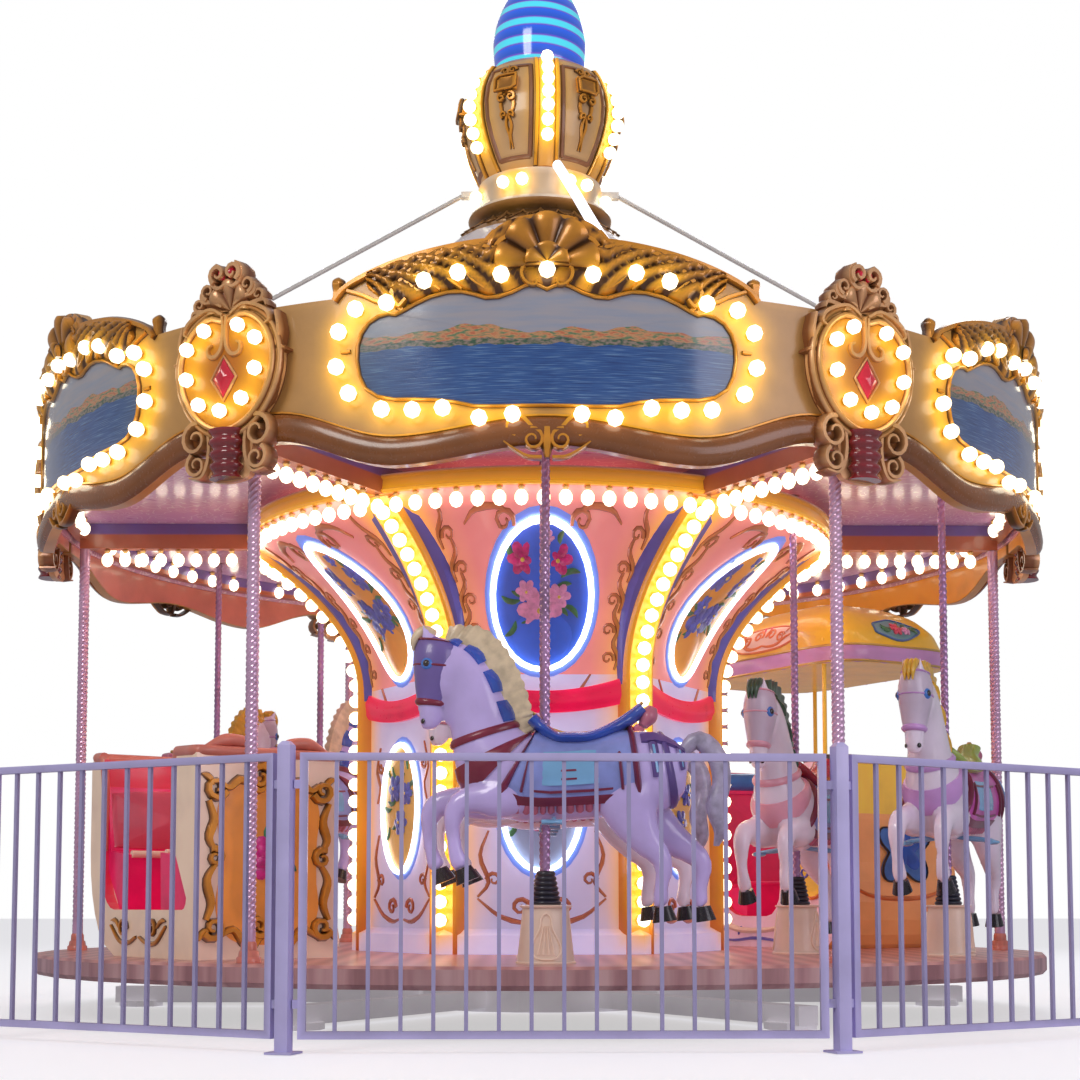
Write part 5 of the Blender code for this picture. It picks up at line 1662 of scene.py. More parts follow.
@dataclass(frozen=True)
class Limb:
    """A rounded form along a side-view path: knots of x, y, z, half height and half width."""

    knots: tuple

    def table(self) -> Array:
        """The knots as a smooth line of samples."""
        return spline(self.knots, 160)

    def at(self, share: Array, angle: Array, stand: Array | float = 0.0) -> Array:
        """Points on the form.

        Args:
            share: Share along the path.
            angle: Turn from the upper line towards +y, in radians.
            stand: Distance from the surface.

        Returns:
            Points in horse space.
        """
        line = self.table()
        marks = np.linspace(0, 1, len(line))
        x, y, z, high, wide = (np.interp(share, marks, line[:, k]) for k in range(5))
        slope = np.gradient(line[:, [0, 2]], axis=0)
        slope /= np.linalg.norm(slope, axis=1, keepdims=True)
        up_x, up_z = np.interp(share, marks, -slope[:, 1]), np.interp(share, marks, slope[:, 0])
        size = np.hypot(up_x, up_z)
        lift = (high + stand) * np.cos(angle)
        return joined(x + lift * up_x / size, y + (wide + stand) * np.sin(angle), z + lift * up_z / size)

    def surface(self, count: int = 40, sides: int = 20) -> Patch:
        """The whole closed form."""
        return grid(self.at(np.linspace(0, 1, count)[:, None], circle(sides)))

    def band(self, start: float, stop: float, stand: float, low: float, high: float, slot: int, count: int,
             sides: int, inner: float = -0.004) -> Patch:
        """Closed shell round part of the form.

        Args:
            start: First share along the path.
            stop: Last share along the path.
            stand: How far its outer face stands off.
            low: First angle.
            high: Last angle, a full turn above the first for a closed ring.
            slot: Index of the finish.
            count: Rows along.
            sides: Columns round.
            inner: How far its inner face stands off.

        Returns:
            The surface.
        """
        is_ring = high - low >= 6.28
        share = np.linspace(start, stop, count)[:, None]
        angle = np.linspace(low, high, sides, endpoint=not is_ring)
        edge = 1 - np.abs(np.linspace(-1, 1, count))[:, None] ** 6
        outer, under = self.at(share, angle, stand * (0.4 + 0.6 * edge)), self.at(share, angle, inner)
        if is_ring:
            return grid(np.concatenate([outer, under[::-1], outer[:1]]), caps=False, slot=slot)
        return grid(np.concatenate([outer, under[:, ::-1]], 1), slot=slot)


def melted(surfaces: Sequence[Patch], voxel: float, smoothing: int) -> Patch:
    """Merge overlapping surfaces into one smooth skin by a voxel remesh.

    Args:
        surfaces: Closed surfaces.
        voxel: Voxel size in metres.
        smoothing: Rounds of smoothing.

    Returns:
        The skin, with x and z as its pattern place.
    """
    starts = np.cumsum([0, *[len(p.points) for p in surfaces]])
    mesh = bpy.data.meshes.new("melt")
    faces = [*np.concatenate([p.quads + s for p, s in zip(surfaces, starts)]).tolist(),
             *np.concatenate([p.tris + s for p, s in zip(surfaces, starts)]).tolist()]
    mesh.from_pydata(np.concatenate([p.points for p in surfaces]).tolist(), [], faces)
    shape = bmesh.new()
    shape.from_mesh(mesh)
    bmesh.ops.recalc_face_normals(shape, faces=shape.faces)
    shape.to_mesh(mesh)
    shape.free()
    helper = bpy.data.objects.new("melt", mesh)
    bpy.context.scene.collection.objects.link(helper)
    step = helper.modifiers.new("voxels", "REMESH")
    step.mode = "VOXEL"
    step.voxel_size = voxel
    ease = helper.modifiers.new("ease", "SMOOTH")
    ease.factor = 0.5
    ease.iterations = smoothing
    bpy.context.view_layer.update()
    made = bpy.data.meshes.new_from_object(helper.evaluated_get(bpy.context.evaluated_depsgraph_get()))
    points = np.empty(len(made.vertices) * 3)
    made.vertices.foreach_get("co", points)
    points = points.reshape(-1, 3)
    quads = np.empty(len(made.loops), np.int32)
    made.loops.foreach_get("vertex_index", quads)
    bpy.data.objects.remove(helper, do_unlink=True)
    bpy.data.meshes.remove(mesh)
    bpy.data.meshes.remove(made)
    return Patch(points, quads.reshape(-1, 4), np.zeros((0, 3), int), points[:, [0, 2]].copy())


@dataclass(frozen=True)
class OnDeck:
    """Puts a horse, a pedestal or a car on the deck: x along the travel, y outwards, z up."""

    bearing: float
    ring: float
    forward: float = 0.0
    lift: float = 0.0

    def __call__(self, local: Array) -> Array:
        """Turn a design about the vertical and move it to its place."""
        start = math.radians(self.bearing)
        x, y = local[..., 0] + self.forward, local[..., 1] + self.ring
        return joined(y * math.sin(start) - x * math.cos(start), -x * math.sin(start) - y * math.cos(start),
                      local[..., 2] + self.lift)


@dataclass(frozen=True)
class HorseScheme:
    """Colours and place of one horse."""

    name: str
    place: OnDeck
    coat: Finish
    mask: Finish
    mane: Finish
    patch: Finish
    strap: Finish
    saddle: Finish
    cloth: Finish


@dataclass
class Horses:
    """Eight carved horses with their tack, on twisted poles."""

    pole_radius: float = 0.019
    pole_low: float = 0.40
    pole_high: float = 2.70
    body: Limb = Limb(((-0.565, 0, 1.06, 0.03, 0.03), (-0.545, 0, 1.06, 0.085, 0.075),
                       (-0.47, 0, 1.045, 0.15, 0.125), (-0.36, 0, 1.03, 0.172, 0.15),
                       (-0.20, 0, 1.015, 0.165, 0.145), (-0.02, 0, 1.005, 0.165, 0.14),
                       (0.11, 0, 1.02, 0.178, 0.145), (0.20, 0, 1.09, 0.165, 0.125),
                       (0.243, 0, 1.19, 0.135, 0.098), (0.270, 0, 1.29, 0.120, 0.084),
                       (0.305, 0, 1.385, 0.110, 0.074), (0.350, 0, 1.46, 0.100, 0.066),
                       (0.400, 0, 1.505, 0.070, 0.055), (0.420, 0, 1.515, 0.03, 0.03)))
    head: Limb = Limb(((0.425, 0, 1.575, 0.03, 0.03), (0.430, 0, 1.555, 0.075, 0.052),
                       (0.432, 0, 1.50, 0.088, 0.066), (0.436, 0, 1.44, 0.084, 0.066),
                       (0.447, 0, 1.375, 0.068, 0.054), (0.457, 0, 1.31, 0.052, 0.044),
                       (0.460, 0, 1.255, 0.046, 0.041), (0.460, 0, 1.222, 0.040, 0.038),
                       (0.458, 0, 1.203, 0.018, 0.02)))

    front_leg: tuple = ((0.08, 0, 1, 0.97, 0.10, 0.07), (0.22, 0.3, 1.1, 0.93, 0.085, 0.062),
                        (0.34, 0.8, 1.15, 0.925, 0.062, 0.050), (0.425, 1, 1.15, 0.915, 0.050, 0.044),
                        (0.462, 1, 1.15, 0.865, 0.042, 0.040), (0.462, 1, 1.15, 0.79, 0.032, 0.030),
                        (0.455, 1, 1.12, 0.715, 0.031, 0.030), (0.437, 1, 1.1, 0.675, 0.037, 0.036),
                        (0.425, 1, 1.1, 0.655, 0.030, 0.030))
    back_leg: tuple = ((-0.34, 0, 1, 1.02, 0.13, 0.075), (-0.37, 0.3, 1.15, 0.93, 0.125, 0.075),
                       (-0.43, 0.5, 1.2, 0.84, 0.098, 0.062), (-0.53, 0.8, 1.2, 0.76, 0.066, 0.048),
                       (-0.615, 1, 1.15, 0.70, 0.046, 0.038), (-0.630, 1, 1.15, 0.64, 0.036, 0.032),
                       (-0.618, 1, 1.1, 0.575, 0.030, 0.028), (-0.618, 1, 1.1, 0.53, 0.036, 0.034),
                       (-0.625, 1, 1.1, 0.505, 0.030, 0.030))

    def legs(self) -> list[Limb]:
        """Front legs folded at the knee, back legs stretched behind, the far one of each pair less so."""
        made = []
        for shape, stride in ((self.front_leg, -0.10), (self.back_leg, 0.17)):
            for side, reach in ((-1, 0.0), (1, stride)):
                made.append(Limb([(x + share * reach, 0.075 * side * spread, *rest)
                                  for x, share, spread, *rest in shape]))
        return made

    def hoof(self, leg: Limb) -> Patch:
        """Flared hoof under a leg: its section grows towards the sole."""
        line = leg.table()[:, :3]
        run = line[-1] - line[-12]
        stop = line[-1] + 0.062 * run / np.linalg.norm(run) + [0.012, 0, 0]
        t = np.array([[0], [0.35], [0.7], [1]])
        return Limb(np.hstack([line[-1] * (1 - t) + stop * t, 0.034 + 0.016 * t,
                               0.032 + 0.012 * t])).surface(8, 16)

    def skin(self) -> Patch:
        """Body, head, cheeks, legs and ears as one smooth skin."""
        cheeks = [Limb(((0.385, 0.028 * s, 1.50, 0.01, 0.01), (0.388, 0.034 * s, 1.47, 0.058, 0.036),
                        (0.392, 0.034 * s, 1.42, 0.066, 0.038), (0.40, 0.028 * s, 1.365, 0.045, 0.03),
                        (0.41, 0.02 * s, 1.33, 0.01, 0.01))) for s in (-1, 1)]
        ears = [Limb(((0.445, 0.035 * s, 1.53, 0.026, 0.014), (0.468, 0.042 * s, 1.575, 0.024, 0.013),
                      (0.492, 0.045 * s, 1.625, 0.006, 0.005))) for s in (-1, 1)]
        chest = Limb(((0.10, 0, 0.98, 0.10, 0.11), (0.20, 0, 1.02, 0.11, 0.11), (0.26, 0, 1.08, 0.07, 0.08),
                      (0.28, 0, 1.12, 0.03, 0.03)))
        forms = [self.body, self.head, chest, *cheeks, *ears, *self.legs()]
        return melted([form.surface() for form in forms], 0.0195, 3)

    def mane(self) -> list[Patch]:
        """Comb of short locks along the crest of the neck, with a fringe between the ears."""
        share = np.linspace(0.565, 0.985, 60)
        rise = 0.075 * np.sin(np.pi * np.clip((share - 0.545) / 0.47, 0, 1)) ** 0.45 + 0.010
        lock = 0.010 * np.abs(np.sin(np.linspace(0, 15 * np.pi, 60)))
        root, tip = self.body.at(share, 0, -0.03), self.body.at(share, 0, rise + lock)
        middle, wide = 0.5 * (root + tip), np.array([0, 1.0, 0])
        ridge_half = (0.010 + lock)[:, None] * wide
        made = [grid(np.stack([root - 0.026 * wide, middle - 0.027 * wide, tip - ridge_half, tip + ridge_half,
                               middle + 0.027 * wide, root + 0.026 * wide], 1))]
        for spot in (0.66, 0.75, 0.84, 0.925):
            made += [self.body.band(spot - 0.034, spot + 0.030, 0.014, *np.radians(turn), 1, 4, 6)
                     for turn in ((-50.0, -8.0), (8.0, 50.0))]
        fringe = ((0.44, 1.585, 0.016), (0.485, 1.60, 0.02), (0.522, 1.565, 0.016), (0.528, 1.52, 0.004))
        for side in (-0.018, 0.0, 0.018):
            made.append(Limb([(x, side, z, size, size * 0.8) for x, z, size in fringe]).surface(14, 8))
        return made

    def tail(self) -> list[Patch]:
        """Five long wavy locks hanging from the rump."""
        rows = ((-0.53, 0, 0.4, 1.10, 0.02, 0.016), (-0.60, 1, 0.7, 1.165, 0.034, 0.022),
                (-0.675, 1, 1, 1.10, 0.034, 0.022), (-0.695, 1, 1.3, 1.0, 0.030, 0.020),
                (-0.672, 1, 1.5, 0.90, 0.032, 0.020), (-0.690, 1, 1.2, 0.81, 0.022, 0.016),
                (-0.672, 1, 1, 0.745, 0.005, 0.004))
        made = []
        for number in range(5):
            side, back = (number - 2) * 0.016, 0.008 * (number % 2)
            knots = [(x - share * back, side * spread, *rest) for x, share, spread, *rest in rows]
            made.append(Limb(knots).surface(24, 8).finish(2))
        return made

    def saddle(self) -> list[Patch]:
        """Seat that rises to both ends, with its chrome rim and a roll behind it."""
        share, spots = np.linspace(0, 1, 22), np.linspace(0, 1, 14)
        front, rear = np.maximum(0, 1 - 4 * share) ** 1.5, np.maximum(0, share - 0.45) ** 1.6
        z = 1.185 + 0.085 * front + 0.322 * rear
        wide = 0.055 + 0.085 * np.sin(np.pi * np.minimum(1, 1.15 * share)) ** 0.7 * (1 - 0.25 * share)
        seat = joined(0.055 - 0.44 * share, 0, z - 0.02, 0.028, wide)
        rim = joined(0.06 - 0.445 * spots, 0, seat[(spots * 21).astype(int), 2] + 0.026, 0.007, 0.012)
        roll = ((-0.385, 0, 1.22, 0.02, 0.05), (-0.41, 0, 1.26, 0.035, 0.055), (-0.425, 0, 1.295, 0.02, 0.03))
        return [Limb(seat).surface().finish(5), Limb(rim).surface(40, 8).finish(6),
                Limb(roll).surface(12, 14).finish(3)]

    def bead(self, side: int, spot: Sequence[float], run: Sequence[float], *shape: float) -> Patch:
        """Rounded bead on one side of the horse, from its values on the left side."""
        flip = np.array([[1, side, 1]])
        return globes(flip * spot, flip * run, *shape)

    def tack(self) -> list[Patch]:
        """Saddle, cloth with fringe, collar, bridle, harness, eyes and foot rests."""
        body, head, turn = self.body, self.head, math.tau
        cloth = ((0.235, 0.475, 0.016, -2.15, 2.15, 1, 8, 24), (0.228, 0.482, 0.020, -2.22, -2.02, 2, 8, 4),
                 (0.228, 0.482, 0.020, 2.02, 2.22, 2, 8, 4), (0.228, 0.242, 0.021, -2.15, 2.15, 2, 4, 24),
                 (0.470, 0.484, 0.021, -2.15, 2.15, 2, 4, 24), (0.29, 0.42, 0.022, -1.75, -1.0, 4, 5, 8),
                 (0.29, 0.42, 0.022, 1.0, 1.75, 4, 5, 8))
        straps = ((body, 0.515, 0.560, 0.014, 0, turn, 0, 4, 22),
                  (body, 0.600, 0.622, 0.011, 0, turn, 0, 4, 22),
                  (head, 0.06, 0.63, 0.007, 0, turn, 7, 10, 20),
                  (head, 0.10, 0.13, 0.013, 0, turn, 0, 4, 16), (head, 0.60, 0.65, 0.012, 0, turn, 0, 4, 16),
                   (head, 0.33, 0.355, 0.011, 0, turn, 0, 4, 16),
                  (body, 0.13, 0.155, 0.013, 0, turn, 8, 4, 22))
        flank = ((0.262, 0.270, 0.024, 1.12, 1.92, 2, 4, 6), (0.440, 0.448, 0.024, 1.12, 1.92, 2, 4, 6),
                 (0.262, 0.448, 0.024, 1.12, 1.17, 2, 4, 6), (0.262, 0.448, 0.024, 1.87, 1.92, 2, 4, 6),
                 (0.325, 0.385, 0.024, 1.42, 1.46, 2, 4, 6), (0.325, 0.385, 0.024, 1.60, 1.64, 2, 4, 6),
                 (0.075, 0.103, 0.016, 0.9, 1.75, 8, 4, 7), (0.081, 0.097, 0.019, 1.0, 1.65, 9, 4, 6),
                 (0.17, 0.198, 0.016, 0.9, 1.75, 8, 4, 7), (0.176, 0.192, 0.019, 1.0, 1.65, 9, 4, 6),
                 (0.06, 0.215, 0.017, 0.55, 0.85, 8, 5, 4))
        made = [body.band(*row) for row in cloth]
        for spot in np.linspace(0.236, 0.474, 17):
            made += [body.band(spot - 0.006, spot + 0.006, 0.017, low, low + 0.26, 3, 4, 4, 0.004)
                     for low in (-2.46, 2.2)]
        made += [*self.saddle(), *[form.band(*row) for form, *row in straps]]
        for side in (-1, 1):
            made += [body.band(*row[:3], *sorted((side * row[3], side * row[4])), *row[5:]) for row in flank]
            made += [self.bead(side, (0.470, 0.062, 1.462), (0.35, 1, 0.1), 0.026, 10, 6, 14, 0.5),
                     self.bead(side, (0.472, 0.070, 1.462), (0.35, 1, 0.1), 0.015, 11, 6, 12, 0.6),
                     self.bead(side, (0.487, 0.030, 1.236), (0.7, 0.8, 0), 0.011, 11, 4, 10, 0.4)]
            rest = [(x, 0.20 * side, z, high, wide) for x, z, high, wide in
                    ((0.02, 0.829, 0.011, 0.014), (-0.02, 0.828, 0.012, 0.036), (-0.06, 0.829, 0.011, 0.014))]
            made += [Limb(rest).surface(8, 10).finish(9),
                     self.bead(side, (-0.03, 0.12, 0.845), (0, 1, -0.1), 0.013, 9, 4, 10, 8.0)]
        return made

    def pole(self) -> Patch:
        """Twisted pole: four rounded strands, a full turn every 12 cm."""
        climb, turn = np.linspace(self.pole_low, self.pole_high, 170)[:, None], circle(12)
        reach, angle = self.pole_radius * (0.92 + 0.08 * np.cos(4 * turn)), turn + math.tau * climb / 0.12
        return grid(joined(reach * np.cos(angle), reach * np.sin(angle), climb))

    def schemes(self) -> list[HorseScheme]:
        """Colours and places of the eight horses: the hidden bays repeat those of the front and the right."""
        lifts = {"front": 0.0, "right": -0.035, "back": -0.04, "left_back": 0.05}
        # The front outer horse takes the coat painted with violet shade.
        looks = {("front", "outer"): (Finish.COAT_PAINTED_SHADE, Finish.MASK_VIOLET, Finish.MANE_CREAM,
                                      Finish.SADDLE_BLUE, Finish.STRAP, Finish.SADDLE_BLUE,
                                      Finish.CLOTH_PURPLE),
                 ("front", "inner"): (Finish.COAT, Finish.MASK, Finish.MANE_GOLD, Finish.MANE_GOLD,
                                      Finish.SASH_PINK, Finish.SADDLE_RED, Finish.CLOTH_PINK),
                 ("right", "outer"): (Finish.COAT, Finish.MASK, Finish.MANE_GOLD, Finish.MANE_GOLD,
                                      Finish.SASH_LILAC, Finish.SADDLE_GREEN, Finish.CLOTH_PINK),
                 ("right", "inner"): (Finish.COAT, Finish.MASK, Finish.MANE_GREEN, Finish.MANE_GREEN,
                                      Finish.SASH_PINK, Finish.SADDLE_RED, Finish.CLOTH_PURPLE)}
        made = []
        for bay, bearing in HORSE_BAYS.items():
            for row, ring in HORSE_RINGS.items():
                look = looks.get((bay, row)) or looks["front" if row == "inner" else "right", "outer"]
                lift = lifts[bay] - 0.040 * ((bay, row) == ("right", "inner"))
                made.append(HorseScheme(f"horse_{bay}_{row}", OnDeck(bearing, ring, 0.0, lift), *look))
        return made

    def build(self) -> None:
        """Make the eight horses."""
        skin = [self.skin(), *[self.hoof(leg).finish(1) for leg in self.legs()]]
        hair, tack, pole = [*self.mane(), *self.tail()], self.tack(), [self.pole()]
        for scheme in self.schemes():
            name, place = scheme.name, scheme.place
            piece(f"{name}_skin", moved(skin, place), [scheme.coat, Finish.HOOF], body=name,
                  replaces=[name])
            piece(f"{name}_hair", moved(hair, place), [scheme.mane, scheme.patch, Finish.TAIL], body=name)
            piece(f"{name}_tack", moved(tack, place),
                  [scheme.strap, scheme.cloth, Finish.TRIM_BURGUNDY, Finish.FRINGE, Finish.SADDLE_SKY,
                   scheme.saddle, Finish.CHROME, scheme.mask, Finish.HARNESS, Finish.SADDLE_SKY,
                   Finish.EYE_RING, Finish.EYE], body=name)
            piece(f"{name}_pole", moved(pole, place), [Finish.BRASS], body=name)


@dataclass
class Supports:
    """Six twisted poles on stepped feet, eight pedestals with bellows, and the deck."""

    pole_ring: float = 2.36
    pole_radius: float = 0.0275
    deck_top: float = 0.281

    @property
    def foot(self) -> float:
        """Height where poles and pedestals start, just clear of the deck."""
        return self.deck_top + 0.0005

    def twisted(self) -> list[Patch]:
        """Pole of six strands, which turn once in 15 cm, on a stepped foot."""
        climb, turn = np.linspace(self.deck_top + 0.07, 2.3497, 140)[:, None], circle(18)
        ends = np.clip(np.minimum(climb - 0.40, 2.30 - climb) / 0.05, 0, 1)
        reach = self.pole_radius * (1 - 0.07 * ends + 0.07 * ends * np.cos(6 * turn))
        angle = turn + math.tau * climb / 0.15
        foot = np.array([(0.05, 0), (0.05, 0.02), (0.043, 0.026), (0.04, 0.045), (0.033, 0.05),
                         (0.032, 0.075), (0.028, 0.085)])
        wide, rise = foot[:, :1], self.foot + foot[:, 1:]
        return [grid(joined(reach * np.cos(angle), reach * np.sin(angle), climb)),
                grid(joined(wide * np.cos(turn), wide * np.sin(turn), rise), slot=1)]

    def pedestal(self) -> list[Patch]:
        """Round pedestal, wider at its foot, with a pear-shaped line on two sides and a ribbed bellows."""
        low, turn = self.foot, circle(26)
        line = spline([(0.119, low), (0.119, low + 0.008), (0.114, low + 0.012), (0.110, low + 0.04),
                       (0.102, low + 0.11), (0.095, low + 0.18), (0.092, 0.496), (0.100, 0.501),
                       (0.101, 0.51), (0.05, 0.512)], 30)
        share = np.linspace(0, 1, 43)[:, None]
        fold = (0.056 - 0.024 * share) * (1 + 0.14 * np.abs(np.sin(share * 7 * np.pi)))
        parts = [grid(joined(wide * np.cos(turn), wide * np.sin(turn), rise), slot=slot) for slot,
                 (wide, rise) in enumerate(((line[:, :1], line[:, 1:]), (fold, 0.511 + 0.134 * share)))]
        half = [(0.020, 0.462), (0.026, 0.42), (0.050, 0.37), (0.058, 0.335), (0.040, 0.307)]
        pear = loop_spline([(0.0, 0.478), *half, (0.0, 0.300), *[(-x, z) for x, z in half[::-1]]], 60)
        relief = [ridge(pear, 0.005, 0.008, ring=True),
                  *[vine([(x, 0.318), (0.8 * x, 0.36), (0.35 * x, 0.43)], 16, [0.006, 0.003], 0.006)
                    for x in (-0.030, -0.010, 0.010, 0.030)]]

        def onto(side: int) -> Callable[[Array], Array]:
            """Placement of a flat design on one side of the cone."""
            def place(points: Array) -> Array:
                """Turn the side distance into an angle, and step out from the cone."""
                reach = np.interp(points[..., 2], line[:24, 1], line[:24, 0]) + points[..., 1]
                return polar(side * reach, points[..., 0] / 0.105, points[..., 2])
            return place
        return [*parts, *moved(relief, onto(-1)), *moved(relief, onto(1))]

    def build(self) -> None:
        """Make the poles, the pedestals and the deck's finish."""
        pole, stand = self.twisted(), self.pedestal()
        for number, bearing in enumerate(JOINT_BEARINGS, 1):
            shift = polar(self.pole_ring, math.radians(bearing), 0)
            piece(f"twisted_pole_{number}", moved(pole, lambda points: points + shift),
                  [Finish.POLE, Finish.SALMON], replaces=[f"pole_{number}"])
        for bay, bearing in HORSE_BAYS.items():
            for row, ring in HORSE_RINGS.items():
                piece(f"carved_pedestal_{bay}_{row}", moved(stand, OnDeck(bearing + 180, -ring)),
                      [Finish.PEDESTAL, Finish.BELLOWS],
                      replaces=[f"pedestal_{bay}_{row}"])
        # The base frame's paint carries an even painted glow that brightens it in the shade under the deck.
        nodes = {"deck": Finish.DECK, "base_frame": Finish.PALE, "centre_mast": Finish.STEEL,
                 "roof": Finish.ROOF}
        for node, finish in nodes.items():
            dress(node, finish)
        for number in range(1, 8):
            dress(f"fence_bay_{number}", Finish.FENCE)


def facing(side: str, distance: float, lean: float = 0.0, level: float = 0.0) -> Callable[[Array], Array]:
    """Placement of a flat design on one face of a car.

    Args:
        side: Which face: rear, front, near or far. Near looks towards the axis, far away from it.
        distance: Distance of the face from the car's middle, at the level.
        lean: How much further out the face lies for each metre up.
        level: Height at which the distance holds.

    Returns:
        The placement: design x to the right as seen from outside, y off the face, z up.
    """
    def place(local: Array) -> Array:
        """Swap the design's axes for the car's."""
        x, y, z = local[..., 0], local[..., 1] + distance + lean * (local[..., 2] - level), local[..., 2]
        spots = {"rear": (-y, -x), "front": (y, x), "near": (x, -y), "far": (-x, y)}[side]
        return joined(*spots, z)
    return place


def swelled(turn: Array, power: float) -> tuple[Array, Array]:
    """Sine and cosine of angles, each raised to a power with its sign kept, which squares a round outline."""
    return tuple(np.sign(wave) * np.abs(wave) ** power for wave in (np.sin(turn), np.cos(turn)))


def rope(path: Sequence[Sequence[float]], radius: float | Sequence[float], count: int = 40, sides: int = 10,
         slot: int = 0, smooth: bool = True) -> Patch:
    """Rounded roll along a path in space: circles square to it, their sides level where the path allows.

    Args:
        path: Points of the path.
        radius: Radius, or values along the path.
        count: Number of samples.
        sides: Points round the section.
        slot: Index of the finish.
        smooth: Whether the path is a smooth curve through its points, not straight runs.

    Returns:
        The surface.
    """
    knots = np.asarray(path, float)
    line = spline(knots, count) if smooth else np.stack([spread(knots[:, k], count) for k in range(3)], -1)
    run = np.gradient(line, axis=0)
    run /= np.linalg.norm(run, axis=1, keepdims=True) + 1e-9
    helper = np.array([0.0, 0.0, 1.0]) if np.abs(run[:, 2]).max() < 0.95 else np.array([0.0, 1.0, 0.0])
    side = np.cross(run, helper)
    side /= np.linalg.norm(side, axis=1, keepdims=True) + 1e-9
    up = np.cross(side, run)
    turn = np.linspace(0, math.tau, sides, endpoint=False)
    reach = spread(radius, count)[:, None, None]
    points = line[:, None] + reach * (np.cos(turn)[None, :, None] * side[:, None]
                                      + np.sin(turn)[None, :, None] * up[:, None])
    return grid(points, slot=slot)


def rounded_back(wide: float, heights: Sequence[float], count: int) -> Array:
    """Outline of a back rest with rounded corners.

    Args:
        wide: Half width.
        heights: Heights of the foot, the lower corners, the sides' two ends, the upper corners and the top.
        count: Number of samples.

    Returns:
        The outline, count by 2, as x and z.
    """
    foot, low, start, stop, high, top = heights
    half = [(wide - 0.03, high), (wide, stop), (wide, start), (wide - 0.03, low)]
    left = [(-x, z) for x, z in half]
    return loop_spline([left[2], left[1], left[0], (0, top), *half, (0, foot), left[3]], count)


